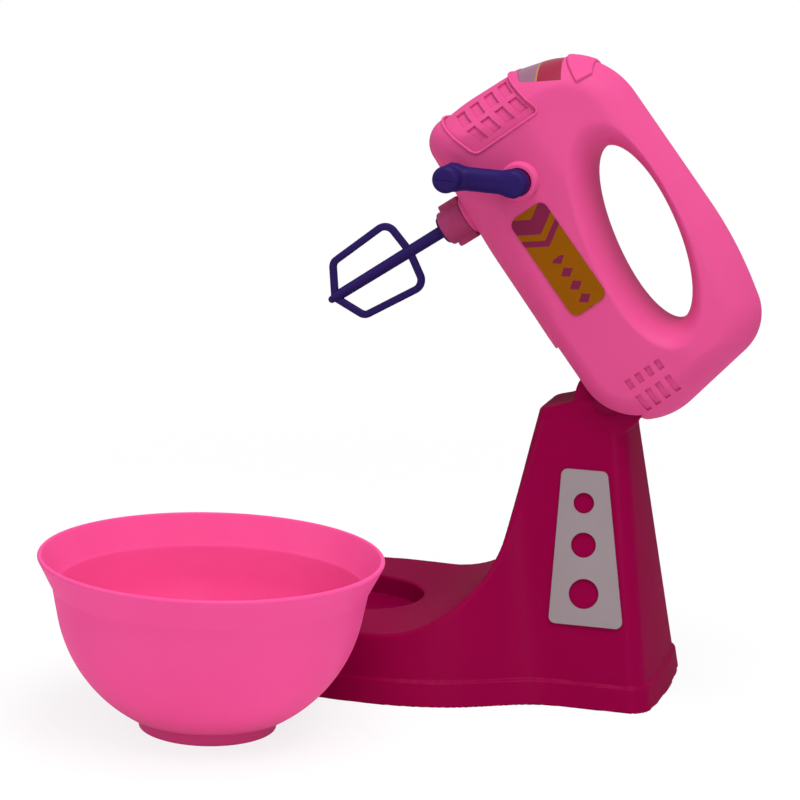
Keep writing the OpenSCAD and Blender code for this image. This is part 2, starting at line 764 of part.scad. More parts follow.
module drive_socket() {
    color(pink) in_drive() difference() {
        union() {
            down_z(pinion_high - 1, collar_top, pinion_shaft_r);
            down_z(spindle_top, collar_top, spindle_r);
            down_z(collar_top, collar_low, collar_r);
            for (s = [0, 180]) rotate([0, 0, s]) translate([0, -rib_w / 2, -collar_low + rib_short])
                cube([rib_r, rib_w, collar_l - rib_short]);
        }
        down_z(collar_low - socket_depth, collar_low + 1, socket_r);
        translate([0, 0, -bush_high + clip_gap]) difference() {
            cylinder(r = spindle_r + 1, h = clip_t + 2 * run_gap);
            translate([0, 0, -1]) cylinder(r = spindle_r - 0.8, h = clip_t + 3);
        }
    }
}
module spindle_bush() {
    color(pale) in_drive() difference() {
        down_z(bush_high, bush_low, spindle_bush_r);
        down_z(bush_high - 1, bush_low + 1, spindle_r + run_gap);
    }
}
module spindle_clip() {
    color(steel) in_drive() translate([0, 0, -bush_high + clip_gap + run_gap]) difference() {
        cylinder(r = spindle_bush_r, h = clip_t);
        translate([0, 0, -1]) cylinder(r = spindle_r - 0.8 + run_gap, h = clip_t + 2);
    }
}

// Beater: a stem with a flat loop, its bar following the corner list
module loop_outline(inset) {
    low = -beater_tip + loop_low_h + 0.4 * inset;
    high = -beater_tip + loop_h - 2.5 - 0.9 * inset;
    polygon(outline([[loop_low_w - inset, low, 6 - inset], [loop_top_w - inset, high, 7 - inset],
        [0, -beater_tip + loop_h - inset, 30], [inset - loop_top_w, high, 7 - inset],
        [inset - loop_low_w, low, 6 - inset], [0, -beater_tip + 1.5 + 1.2 * inset, 1]]));
}
module beater() {
    color(violet) in_drive() {
        down_z(collar_low - socket_depth + 0.4, collar_low + flange_t, socket_r - run_gap);
        down_z(collar_low + 0.1, collar_low + 0.1 + flange_t, flange_r);
        down_z(collar_low, beater_tip - 1.6, stem_r);
        translate([0, 0, -beater_tip + 1.7]) sphere(r = 1.7);
        rotate([90, 0, 0]) linear_extrude(bar_t, center = true) difference() {
            loop_outline(0);
            loop_outline(bar_w);
        }
    }
}

// Thumb block and its spring
module both_halves(grow) {
    head_half(grow);
    mirror([0, 1, 0]) head_half(grow);
}
module speed_button() {
    color(pink) in_head() {
        intersection() {
            button_prism(0, button_wrap);
            difference() {
                both_halves(button_out);
                both_halves(-button_root);
            }
        }
        intersection() {
            in_button() translate([-button_l / 2 + button_step, -button_half_w, -flange_drop])
                cube([button_l - 2 * button_step, 2 * button_half_w, flange_drop + button_wrap]);
            both_halves(0);
        }
        in_button() translate([-button_l / 2 - flange_over, -button_half_w, -flange_drop - flange_thick])
            cube([button_l + 2 * flange_over, 2 * button_half_w, flange_thick]);
    }
}
function coil_point(t, turn) =
    let (a = 360 * spring_turns * t, r = spring_r + spring_wire * cos(turn))
    let (low = -spring_low + spring_wire, rise = spring_l - 2 * spring_wire)
    [r * cos(a), r * sin(a), low + t * rise + spring_wire * sin(turn)];
module button_spring() {
    steps = spring_turns * 12;
    color(steel) in_head() in_button() rings_solid(
        [for (i = [0 : steps]) [for (turn = [0 : 60 : 300]) coil_point(i / steps, -turn)]]);
}

// Labels
module label_plate(l, h, r) {
    translate([-l / 2, -h / 2 + r]) square([l, h - 2 * r]);
    translate([-l / 2 + r, -h / 2]) square([l - 2 * r, h]);
    for (x = [-1, 1], y = [-1, 1]) translate([x * (l / 2 - r), y * (h / 2 - r)]) circle(r);
}
module side_label() {
    in_head() translate([label_x, -head_half_w, label_z]) rotate([90, 0, 0])
        linear_extrude(label_t) label_plate(label_l, label_h, 4);
}
module side_label_left() color(ochre) side_label();
module side_label_right() color(ochre) mirror([0, 1, 0]) side_label();
module front_label() {
    color(ochre) in_head() intersection() {
        front_label_prism(-seat_gap);
        difference() {
            both_halves(label_t - front_label_depth);
            both_halves(-front_label_depth);
        }
    }
}

// Bowl, as one wall turned round its axis: outside up to the rim, then inside down to the hollow foot
module bowl() {
    ledge = [foot_r + bowl_ledge, foot_h];
    outside = [[foot_r - 0.6, 0], [foot_r, foot_h], ledge,
        each corner_arc(ledge, bowl_corner, [band_r, band_z]), [band_r, band_z],
        [band_r + band_step, band_z + 1], [bowl_r, bowl_h - 1], [bowl_r - 0.5, bowl_h]];
    inside = [[bowl_r - bowl_wall, bowl_h], [band_r + band_step - bowl_wall, band_z + 1],
        [band_r - bowl_wall, band_z],
        each corner_arc([band_r - bowl_wall, band_z], inner_corner, ledge + bowl_wall * [-0.3, 1]),
        [0, foot_h + bowl_wall], [0, foot_h], [foot_r - bowl_wall, foot_h], [foot_r - bowl_wall - 0.6, 0]];
    color(pink) translate([bowl_x, bowl_y, 0]) rotate_extrude($fn = 96) polygon([each outside, each inside]);
}

stand_shell();
base_plate();
base_screws();
side_panel_near();
side_panel_far();
hinge_bush();
hinge_washers();
hinge_pin();
shell_left();
shell_right();
housing_screws();
crank_bush();
crank_arm();
crank_knob();
knob_pin();
crown_gear();
gear_screw();
drive_pinion();
drive_socket();
spindle_bush();
spindle_clip();
beater();
speed_button();
button_spring();
front_label();
side_label_left();
side_label_right();
bowl();
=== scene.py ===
# A toy stand mixer in moulded plastic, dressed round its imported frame. Every mesh is worked out in
# millimetres in the frame's own axes and stored in metres.
import bpy
import numpy as np
from mathutils import Matrix


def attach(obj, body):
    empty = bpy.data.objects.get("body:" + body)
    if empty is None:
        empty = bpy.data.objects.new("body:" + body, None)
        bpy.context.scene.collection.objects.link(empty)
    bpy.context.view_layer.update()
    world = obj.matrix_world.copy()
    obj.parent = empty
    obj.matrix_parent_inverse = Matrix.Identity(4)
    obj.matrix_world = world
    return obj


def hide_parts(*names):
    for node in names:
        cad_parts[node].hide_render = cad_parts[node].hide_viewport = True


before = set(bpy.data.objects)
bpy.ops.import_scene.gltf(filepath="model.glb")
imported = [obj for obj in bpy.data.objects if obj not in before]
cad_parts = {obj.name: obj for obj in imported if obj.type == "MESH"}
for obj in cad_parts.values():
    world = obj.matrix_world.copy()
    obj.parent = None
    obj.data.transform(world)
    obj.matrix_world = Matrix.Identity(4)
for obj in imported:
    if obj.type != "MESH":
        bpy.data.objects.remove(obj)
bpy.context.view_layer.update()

# ---- View and studio ---------------------------------------------------------------------------
# A long lens a little over a metre away, turned to the toy's front corner and pitched slightly down.
# The toy stands on a white table top with soft boxes over it, as for a catalogue picture.
eye = np.array([0.2909, -1.1555, 0.3665])
heading, pitch, roll = np.radians([15.5, -11.4, 2.3])
ahead = np.array([-np.sin(heading) * np.cos(pitch), np.cos(heading) * np.cos(pitch), np.sin(pitch)])
level = np.array([np.cos(heading), np.sin(heading), 0.0])
upright = np.cross(level, ahead)
right = np.cos(roll) * level + np.sin(roll) * upright
top = np.cos(roll) * upright - np.sin(roll) * level


def placed(*columns):
    """Matrix of an object from its x, y and z axes and its place."""
    return Matrix(np.vstack([np.column_stack(columns), [0, 0, 0, 1]]).tolist())


view = bpy.data.objects.new("view", bpy.data.cameras.new("view"))
view.data.lens = 117
view.matrix_world = placed(right, top, -ahead, eye)
bpy.context.scene.collection.objects.link(view)
bpy.context.scene.camera = view
bpy.context.scene.view_settings.view_transform = "Standard"


def linear(code):
    """Linear colour of an sRGB hex code: each channel by the sRGB curve, with alpha 1."""
    part = np.array([int(code[i:i + 2], 16) for i in (1, 3, 5)]) / 255
    return (*np.where(part <= 0.04045, part / 12.92, ((part + 0.055) / 1.055) ** 2.4).tolist(), 1.0)


def add(tree, kind, inputs=(), **settings):
    """Adds one node with its settings, and sets each named input or links it to another node's output."""
    made = tree.nodes.new(kind)
    for name, value in settings.items():
        setattr(made, name, value)
    for socket, value in dict(inputs).items():
        if isinstance(value, bpy.types.NodeSocket):
            tree.links.new(value, made.inputs[socket])
        else:
            made.inputs[socket].default_value = value
    return made


def blank(name):
    """A new material with an empty node tree."""
    material = bpy.data.materials.new(name)
    material.use_nodes = True
    material.node_tree.nodes.clear()
    return material


# White laminate table top: what the camera and the gloss see is mostly plain white. Near the toy a share of
# the lit surface stays in it, which keeps the soft shadow, and that share fades out 0.6 m away.
laminate = blank("white_laminate_table")
tree = laminate.node_tree
ray = add(tree, "ShaderNodeLightPath")
seen = add(tree, "ShaderNodeMath", {0: ray.outputs["Is Camera Ray"], 1: ray.outputs["Is Glossy Ray"]},
           operation="MAXIMUM")
place = add(tree, "ShaderNodeTexCoord").outputs["Object"]
speck = add(tree, "ShaderNodeTexNoise", {"Vector": place, "Scale": 60})
far = add(tree, "ShaderNodeVectorMath", {0: place}, operation="LENGTH")
plain = add(tree, "ShaderNodeMapRange", {
    "Value": far.outputs["Value"], "From Min": 0.25, "From Max": 0.6, "To Min": 0.82, "To Max": 1.0})
pale = add(tree, "ShaderNodeMix", {0: speck.outputs["Fac"], 6: linear("#F4F4F3"), 7: linear("#F7F7F7")},
           data_type="RGBA")
lit = add(tree, "ShaderNodeBsdfDiffuse", {"Color": pale.outputs[2]})
glow = add(tree, "ShaderNodeEmission", {"Color": (1, 1, 1, 1), "Strength": 1.0})
white = add(tree, "ShaderNodeMixShader", {0: plain.outputs[0], 1: lit.outputs[0], 2: glow.outputs[0]})
shown = add(tree, "ShaderNodeMixShader", {0: seen.outputs[0], 1: lit.outputs[0], 2: white.outputs[0]})
add(tree, "ShaderNodeOutputMaterial", {"Surface": shown.outputs[0]})
table = bpy.data.meshes.new("table")
table.from_pydata([(-9, -9, 0), (9, -9, 0), (9, 9, 0), (-9, 9, 0)], [], [(0, 1, 2, 3)])
table.materials.append(laminate)
table = bpy.data.objects.new("table", table)
bpy.context.scene.collection.objects.link(table)

room = bpy.data.worlds.new("studio")
room.use_nodes = True
room.node_tree.nodes.clear()
tree = room.node_tree
ray = add(tree, "ShaderNodeLightPath")
seen = add(tree, "ShaderNodeMath", {0: ray.outputs["Is Camera Ray"], 1: ray.outputs["Is Transmission Ray"]},
           operation="MAXIMUM")
seen = add(tree, "ShaderNodeMath", {0: seen.outputs[0], 1: ray.outputs["Is Glossy Ray"]}, operation="MAXIMUM")
walls = add(tree, "ShaderNodeBackground", {"Color": linear("#EDEEF2"), "Strength": 0.5})
paper = add(tree, "ShaderNodeBackground", {"Color": (1, 1, 1, 1), "Strength": 1.0})
both = add(tree, "ShaderNodeMixShader", {0: seen.outputs[0], 1: walls.outputs[0], 2: paper.outputs[0]})
add(tree, "ShaderNodeOutputWorld", {"Surface": both.outputs[0]})
bpy.context.scene.world = room


def soft_box(name, place, aim, size, power):
    """A square area lamp at place that faces aim, size metres across."""
    lamp = bpy.data.lights.new(name, "AREA")
    lamp.size, lamp.energy = size, power
    back = np.subtract(place, aim) / np.linalg.norm(np.subtract(place, aim))
    side = np.cross([0, 1, 0.01], back) / np.linalg.norm(np.cross([0, 1, 0.01], back))
    box = bpy.data.objects.new(name, lamp)
    box.matrix_world = placed(side, np.cross(back, side), back, place)
    bpy.context.scene.collection.objects.link(box)


soft_box("box_over", (0.25, -0.35, 1.4), (0, -0.05, 0.1), 1.0, 19)
soft_box("box_front", (0.9, -1.5, 0.8), (0, -0.05, 0.12), 0.8, 4.7)
soft_box("box_left", (-1.3, -0.7, 0.7), (0, -0.05, 0.12), 0.8, 3.5)

# ---- Stand -------------------------------------------------------------------------------------
# The platform, the swept column and the neck are one injection moulding in dark magenta ABS, open
# underneath. A shallow skirt runs round its foot, and the bowl's seat is sunk into the platform.


def rounded_most(a, b, r):
    """Field of what lies inside both a and b, whose outer corner is an arc of radius r."""
    a, b = a + r, b + r
    return np.hypot(np.maximum(a, 0), np.maximum(b, 0)) + np.minimum(np.maximum(a, b), 0) - r


def soft_least(a, b, reach):
    """Field of what lies inside a or b, the corner between them filled: least - reach/4 (1 - |a-b|/reach)^2."""
    near = np.clip(1 - np.abs(a - b) / reach, 0, None)
    return np.minimum(a, b) - near * near * reach / 4


# Sizes in mm: the hinge's place, the heights of the platform and the column, the platform's plan, the column's
# leans, the swoop between the two, the bowl's seat, and the neck seen from the side.
hinge_x, hinge_z = 73.5, 137.7
platform_top, column_top = 30, 131
plan_mid, plan_power, plan_lean = -32, 2.3, 0.235
front_lean, rear_lean, side_lean = 0.18, 0.165, 0.20534
swoop_x, swoop_z, swoop_r = -19.26, 82, 52
seat_x, seat_r, seat_floor = -46, 31, 20
neck_side_view = np.array([[42.4, 128], [43.2, 130.9], [59, 136.2], [hinge_x, hinge_z], [78.2, 131], [78.2, 128]])


def stand_field(x, y, z):
    """Distance to the stand in mm, less than 0 inside. The platform's plan is a superellipse that leans in with
    height and runs softly into the column's leaning sides. A swoop cuts its top and goes on as the column's front,
    whose corners get rounder from 73 mm up: 2 mm, then 6.5 mm. On top is the neck, with a round at the hinge."""
    reach = np.where(x < plan_mid, 74, 92 - 0.05 * z) - plan_lean * z
    half = 75.6 - plan_lean * z
    u, v = np.abs(x - plan_mid) / reach + 1e-6, np.abs(y) / half + 1e-6
    q = (u ** plan_power + v ** plan_power) ** (1 / plan_power)
    slope = np.hypot(u ** (plan_power - 1) / reach, v ** (plan_power - 1) / half)
    plan = (q - 1) / (q ** (1 - plan_power) * slope)
    half = 45.4 - 0.06 * (x - 65) - side_lean * z
    bow = 3 * (1 - np.clip(y / half, -1, 1) ** 2) * (1 - side_lean * z / 45.4)
    rear = (x - 80.2 - rear_lean * (column_top - z) - bow) * 0.987
    column = np.maximum(rounded_most(rear, (np.abs(y) - half) * 0.978, 7), 5 - x)
    plan = soft_least(plan, column, 14)
    lean = np.arctan(front_lean)
    rise = np.clip((z - 73) / 40, 0, 1)
    front = (42.4 - 1.2 * rise - front_lean * (column_top - z) - x) * np.cos(lean)
    turn = np.arctan2(z - swoop_z, x - swoop_x)
    hollow = swoop_r - np.hypot(x - swoop_x, z - swoop_z)
    swoop = np.where(x < swoop_x, z - platform_top, np.where(turn < -lean, hollow, front))
    form = rounded_most(rounded_most(plan, swoop, 2 + 4.5 * rise), z - column_top, 1.2)
    edge = np.roll(neck_side_view, -1, 0) - neck_side_view
    out = np.stack([-edge[:, 1], edge[:, 0]], 1) / np.linalg.norm(edge, axis=1, keepdims=True)
    neck = np.max([(x - p[0]) * n[0] + (z - p[1]) * n[1] for p, n in zip(neck_side_view, out)], 0)
    neck = rounded_most(neck, rounded_most(np.abs(y) - 18.4 + 0.06 * (x - 65), swoop, 6.5), 0.8)
    from_hinge = np.hypot(x - hinge_x, z - hinge_z)
    neck = soft_least(neck, rounded_most(from_hinge - 16, np.abs(y) - 17.8, 0.8), 3)
    form = soft_least(form, rounded_most(plan - 1.4, z - 11, 0.7), 0.9)
    form = soft_least(form, neck, 2.2)
    form = rounded_most(form, -np.maximum(np.hypot(x - seat_x, y) - seat_r, seat_floor - z), 0.9)
    cover = np.maximum(form + 2.4, z - 2.7)
    form = rounded_most(form, -z, 0.4)
    return np.maximum(np.maximum(form, -cover), 5.05 - from_hinge)


def skin(field, low, high, step):
    """Closed surface where a field is 0, with its normals. Each cell of a grid that the surface crosses gets
    one point, the mean of the crossings on its edges; each crossed grid edge joins the four cells round it;
    the points then slide down the field's gradient onto the surface."""
    axes = [np.arange(a, b + step, step) for a, b in zip(low, high)]
    value = field(*np.meshgrid(*axes, indexing="ij"))
    cells = np.array(value.shape) - 1
    total, count = np.zeros((*cells, 3)), np.zeros(cells)
    number = -np.ones(cells, int)
    edges = []
    for a in range(3):
        b, c = (a + 1) % 3, (a + 2) % 3
        first, second = np.take(value, range(cells[a]), a), np.take(value, range(1, cells[a] + 1), a)
        cross = np.argwhere((first < 0) != (second < 0))
        f, s = first[tuple(cross.T)], second[tuple(cross.T)]
        place = cross.astype(float)
        place[:, a] += f / (f - s)
        ring = []
        for db, dc in ((0, 0), (-1, 0), (-1, -1), (0, -1)):
            cell = cross.copy()
            cell[:, b] += db
            cell[:, c] += dc
            np.add.at(total, tuple(cell.T), place)
            np.add.at(count, tuple(cell.T), 1)
            ring.append(cell)
        edges.append((np.stack(ring, 1), f < 0))
    used = np.argwhere(count > 0)
    number[tuple(used.T)] = np.arange(len(used))
    points = total[tuple(used.T)] / count[tuple(used.T)][:, None] * step + np.array(low)
    faces = []
    for ring, inside in edges:
        quad = number[ring[..., 0], ring[..., 1], ring[..., 2]]
        faces.append(np.where(inside[:, None], quad, quad[:, ::-1]))
    shift = 0.04 * np.eye(3)
    for _ in range(4):
        slope = np.stack([(field(*(points + d).T) - field(*(points - d).T)) / 0.08 for d in shift], 1)
        size = np.maximum((slope ** 2).sum(1), 0.05)
        move = -(field(*points.T) / size)[:, None] * slope
        points = points + move * np.minimum(1, 0.5 * step / np.maximum(np.linalg.norm(move, axis=1), 1e-9))[:, None]
    return points, np.concatenate(faces), slope / np.sqrt(size)[:, None]


def piece(name, points, faces, material, normals=None):
    """A smooth-shaded object at the origin from points in millimetres and rows of point numbers."""
    mesh = bpy.data.meshes.new(name)
    mesh.from_pydata(np.asarray(points) * 0.001, [], faces if isinstance(faces, list) else faces.tolist())
    mesh.shade_smooth()
    if normals is not None:
        mesh.normals_split_custom_set_from_vertices(normals.tolist())
    mesh.materials.append(material)
    made = bpy.data.objects.new(name, mesh)
    bpy.context.scene.collection.objects.link(made)
    return made


def moulded(name, tint, depth, gloss, grain_mm, polish, see_in=0.0):
    """Injection-moulded plastic: two close tints in clouds 40 mm wide, where the melt cooled unevenly, a gloss
    that changes a little across 12 mm, a fine grain in the bump from the tool's polish, and a thin clear polish."""
    material = blank(name)
    tree = material.node_tree
    place = add(tree, "ShaderNodeTexCoord").outputs["Object"]
    cloud = add(tree, "ShaderNodeTexNoise", {"Vector": place, "Scale": 1000 / 40, "Detail": 2.0})
    tone = add(tree, "ShaderNodeMix", {0: cloud.outputs["Fac"], 6: linear(depth), 7: linear(tint)},
               data_type="RGBA")
    haze = add(tree, "ShaderNodeTexNoise", {"Vector": place, "Scale": 1000 / 12, "Detail": 3.0})
    rough = add(tree, "ShaderNodeMapRange", {
        "Value": haze.outputs["Fac"], "To Min": gloss - 0.05, "To Max": gloss + 0.07})
    grain = add(tree, "ShaderNodeTexNoise", {"Vector": place, "Scale": 1000 / grain_mm, "Detail": 2.0})
    bump = add(tree, "ShaderNodeBump", {"Height": grain.outputs["Fac"], "Strength": 0.06, "Distance": 0.0004})
    shader = add(tree, "ShaderNodeBsdfPrincipled", {
        "Base Color": tone.outputs[2], "Roughness": rough.outputs[0], "Normal": bump.outputs[0],
        "Specular IOR Level": 0.0, "Coat Weight": polish, "Coat Roughness": 0.28, "Coat IOR": 1.5,
        "Coat Normal": bump.outputs[0],
        "Subsurface Weight": see_in, "Subsurface Radius": (0.004, 0.0015, 0.002), "Subsurface Scale": 1.0})
    add(tree, "ShaderNodeOutputMaterial", {"Surface": shader.outputs[0]})
    return material


# Gloss ABS, coloured through: deep even colour with soft broad highlights.
magenta_abs = moulded("magenta_abs_gloss", "#85013A", "#7E0036", 0.4, 0.9, 0.05)
points, faces, normals = skin(stand_field, (-109, -79, -2), (108, 79, 156), 1.25)
stand = piece("stand", points, faces, magenta_abs, normals)
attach(stand, "stand")
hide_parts("stand_shell")

# ---- Bottom cover and its screws ---------------------------------------------------------------
# A flat cover in the stand's magenta ABS closes it underneath, held by five zinc-plated steel screws.


def dress(name, material):
    """Gives a CAD node, whose shape is kept, its material."""
    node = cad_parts[name]
    node.data.materials.clear()
    node.data.materials.append(material)
    return node


# Zinc-plated steel: bright metal with the fine cloudy bloom of the plating, 3 mm across.
zinc_steel = blank("zinc_plated_steel")
tree = zinc_steel.node_tree
place = add(tree, "ShaderNodeTexCoord").outputs["Object"]
bloom = add(tree, "ShaderNodeTexNoise", {"Vector": place, "Scale": 1000 / 3, "Detail": 3.0})
rough = add(tree, "ShaderNodeMapRange", {"Value": bloom.outputs["Fac"], "To Min": 0.28, "To Max": 0.42})
tone = add(tree, "ShaderNodeMix", {0: bloom.outputs["Fac"], 6: linear("#B4B6BA"), 7: linear("#C6C8CB")},
           data_type="RGBA")
metal = add(tree, "ShaderNodeBsdfPrincipled", {
    "Base Color": tone.outputs[2], "Metallic": 1.0, "Roughness": rough.outputs[0]})
add(tree, "ShaderNodeOutputMaterial", {"Surface": metal.outputs[0]})
dress("base_plate", magenta_abs)
dress("base_screws", zinc_steel)

# ---- Side panels -------------------------------------------------------------------------------
# Two pale grey polystyrene plates, each with three round holes, stuck on the column's sides. The column's
# magenta shows through the holes, and the plates' edges are slightly rounded.
grey_ps = moulded("pale_grey_polystyrene", "#8F8487", "#877C7F", 0.5, 0.9, 0.03)
for side in ("near", "far"):
    panel = dress("side_panel_" + side, grey_ps)
    merge, edge = panel.modifiers.new("merge", "WELD"), panel.modifiers.new("edge", "BEVEL")
    merge.merge_threshold = 1e-6
    edge.width, edge.segments, edge.limit_method, edge.angle_limit = 0.0004, 3, "ANGLE", np.radians(40)

# ---- Hinge -------------------------------------------------------------------------------------
# A steel pin through the neck, on which the mixer tips. It turns in a dark red acetal sleeve, between two
# acetal friction washers.
red_acetal = moulded("dark_red_acetal", "#7A0A3A", "#700634", 0.45, 0.8, 0.03)
dress("hinge_bush", red_acetal)
dress("hinge_washers", red_acetal)
pin_r, pin_half_l, pin_sides = 3, 19.9, 48
turn = np.linspace(0, 2 * np.pi, pin_sides, endpoint=False)
end = np.stack([hinge_x + pin_r * np.cos(turn), np.full(pin_sides, -pin_half_l), hinge_z + pin_r * np.sin(turn)], 1)
after = [(i + 1) % pin_sides for i in range(pin_sides)]
wall = [[i, i + pin_sides, after[i] + pin_sides, after[i]] for i in range(pin_sides)]
ends = [list(range(pin_sides)), list(range(2 * pin_sides - 1, pin_sides - 1, -1))]
pin = piece("hinge_axle", np.concatenate([end, end * [1, -1, 1]]), wall + ends, zinc_steel)
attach(pin, "head")
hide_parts("hinge_pin")

# ---- Mixer housing -----------------------------------------------------------------------------
# Two half shells in pink ABS, split on the mid-plane and screwed together from the far side. The hand
# hole runs through both. A grille is sunk into the nose and short vents into the heel.
# In the level mixer's own axes: the hinge, the ends and height of the spine that its outline is measured from, and
# the outline's corners (x, z, radius).
tilt = np.radians(51.5)
pivot_x, pivot_z = -0.6, 10
spine_front, spine_rear, spine_z = -116, -20, 45
head_corners = [[27, 0, 32], [13.1, 86.1, 23], [-28, 95.9, 180], [-135.8, 95.9, 37], [-148.1, 56, 60],
                [-149.8, 30, 80], [-148.8, 4, 12], [-85, 0, 200]]


def in_head(points):
    """Place in the frame of points given in the level mixer's own axes: turned back by the tilt on the hinge."""
    dx, dz = points[..., 0] - pivot_x, points[..., 2] - pivot_z
    return np.stack([hinge_x + dx * np.cos(tilt) + dz * np.sin(tilt), points[..., 1],
                     hinge_z - dx * np.sin(tilt) + dz * np.cos(tilt)], -1)


def rounded(corners, closed=True):
    """Outline through corners (x, z, radius), each replaced by 48 points on the arc that touches both its sides."""
    c = np.asarray(corners, float)
    if not closed:
        c = np.vstack([2 * c[0] - c[1], c, 2 * c[-1] - c[-2]])
    u, v = np.roll(c, 1, 0)[:, :2] - c[:, :2], np.roll(c, -1, 0)[:, :2] - c[:, :2]
    u, v = u / np.linalg.norm(u, axis=1, keepdims=True), v / np.linalg.norm(v, axis=1, keepdims=True)
    half = np.arccos(np.clip((u * v).sum(1), -1, 1)) / 2
    halfway = (u + v) / np.maximum(np.linalg.norm(u + v, axis=1, keepdims=True), 1e-9)
    mid = c[:, :2] + halfway * (c[:, 2] / np.sin(half))[:, None]
    start = c[:, :2] + u * (c[:, 2] / np.tan(half))[:, None] - mid
    side = np.sign(u[:, 0] * v[:, 1] - u[:, 1] * v[:, 0])
    a = np.arctan2(start[:, 1], start[:, 0])[:, None] - (side * (np.pi - 2 * half))[:, None] * np.linspace(0, 1, 48)
    arc = mid[:, None] + c[:, 2, None, None] * np.stack([np.cos(a), np.sin(a)], -1)
    return (arc if closed else arc[1:-1]).reshape(-1, 2)


def along(path, count, closed=True, density=None):
    """Path walked again in count steps, even in length or, with a density at each of its points, closer where
    that is higher."""
    loop = np.vstack([path, path[:1]]) if closed else path
    step = np.linalg.norm(np.diff(loop, axis=0), axis=1)
    if density is not None:
        step = step * density(0.5 * (loop[1:] + loop[:-1]))
    run = np.concatenate([[0], np.cumsum(step)])
    at = np.linspace(0, run[-1], count, endpoint=not closed)
    return np.stack([np.interp(at, run, loop[:, i]) for i in range(loop.shape[1])], 1)


side_view = along(rounded(head_corners), 4000)


def from_spine(points, end, way):
    """Angle and distance of outline points seen from one end of the spine, sorted by angle. Way is -1 at the nose
    and 1 at the rear."""
    dx, dz = way * (points[:, 0] - end), points[:, 1] - spine_z
    polar = np.stack([np.arctan2(dz, dx), np.hypot(dx, dz)])
    return polar[:, np.argsort(polar[0])]


front_polar = from_spine(side_view[side_view[:, 0] <= spine_front + 0.1], spine_front, -1)
rear_polar = from_spine(side_view[side_view[:, 0] >= spine_rear - 0.1], spine_rear, 1)
upper, lower = side_view[side_view[:, 1] > spine_z].T, side_view[side_view[:, 1] < spine_z].T
upper, lower = (p[:, np.argsort(p[0])] for p in (upper, lower))


def side_width(z):
    """Half width of the mixer before its edges are rounded: 26.5 mm, drawn in to 15.5 at the crown along a
    straight slope from z 53 that starts on a soft bend."""
    rise, slope = z - 53, 11 / 42.9
    return 26.5 - slope * 0.5 * (rise + np.sqrt(rise * rise + 9)) + slope * 0.5 * (-20 + np.sqrt(409))


def edge_of(x, z):
    """How far a point of the side view lies inside the outline, measured away from the spine, and how deep
    the rounded edge is there: 14 mm, and up to 8 more at the nose."""
    on_spine = np.clip(x, spine_front, spine_rear)
    ex, ez = x - on_spine, z - spine_z
    away = np.maximum(np.hypot(ex, ez), 1e-6)
    angle = np.arctan2(ez, np.abs(ex))
    between = np.where(z > spine_z, np.interp(x, *upper) - spine_z, spine_z - np.interp(x, *lower))
    limit = np.where(x > spine_rear, np.interp(angle, *rear_polar), between)
    limit = np.where(x < spine_front, np.interp(angle, *front_polar), limit)
    share = np.clip((-40 - (on_spine + ex * limit / away)) / 40, 0, 1)
    depth = 14 + 8 * (np.maximum(-ex / away, 0) ** 2 + np.maximum(-ez / away, 0) ** 2 * share)
    return limit - away, depth


hole_x, hole_z, hole_a, hole_b, hole_slope = -53.9, 63.8, 42.5, 16.2, np.radians(11.4)
waist = 3.2


def hole_out(x, z):
    """How far a point lies outside the hand hole's ellipse: e with (x/(a+e))^2 + (z/(b+e))^2 = 1, by Newton steps
    from 0, and its angle round the hole."""
    dx, dz = x - hole_x, z - hole_z
    hx, hz = dx * np.cos(hole_slope) - dz * np.sin(hole_slope), dx * np.sin(hole_slope) + dz * np.cos(hole_slope)
    e = np.zeros_like(hx)
    for _ in range(12):
        a, b = hole_a + e, hole_b + e
        steep = 2 * hx * hx / a ** 3 + 2 * hz * hz / b ** 3 + 1e-9
        e = np.maximum(e + ((hx / a) ** 2 + (hz / b) ** 2 - 1) / steep, 0)
    return e, np.arctan2(hz / hole_b, hx / hole_a)


def housing_y(x, z):
    """Half width of the housing at a point of its side view: an elliptical round at the outline's edge, and an
    elliptical flare down to the hand hole's waist, 6.5 mm wide along the hole and 14.5 mm at its two ends. At the
    rear end the flare breaks off in a line before it is level with the side."""
    inset, depth = edge_of(x, z)
    outer = side_width(z) * np.sqrt(np.clip(1 - np.clip(1 - inset / depth, 0, 1) ** 2, 0, 1))
    e, angle = hole_out(x, z)
    round_r = 6.5 + 8 * np.cos(angle) ** 2
    over = 0.1 + np.clip(np.cos(angle), 0, 1) ** 2
    flare = waist + (side_width(z) - waist + over) * np.sqrt(np.clip(1 - np.clip(1 - e / round_r, 0, 1) ** 2, 0, 1))
    near = np.clip(1 - np.abs(outer - flare) / 0.5, 0, None)
    return np.minimum(outer, flare) - near * near * 0.5 / 4


def grid_faces(rows, columns, wrap_rows=False, wrap_columns=False):
    """Quads of a grid of points numbered row by row, joined round where it wraps."""
    r = np.arange(rows if wrap_rows else rows - 1)[:, None]
    c = np.arange(columns if wrap_columns else columns - 1)[None]
    r1, c1 = (r + 1) % rows, (c + 1) % columns
    return np.stack([r * columns + c, r1 * columns + c, r1 * columns + c1, r * columns + c1], -1).reshape(-1, 4)


def outward(points, *groups):
    """Faces of a closed surface as one list, all turned round if the volume that they hold comes out negative."""
    volume = sum((points[g[:, 0]] * np.cross(points[g[:, k]], points[g[:, k + 1]])).sum()
                 for g in groups for k in range(1, g.shape[1] - 1))
    return [face for g in groups for face in g[:, ::1 if volume > 0 else -1].tolist()]


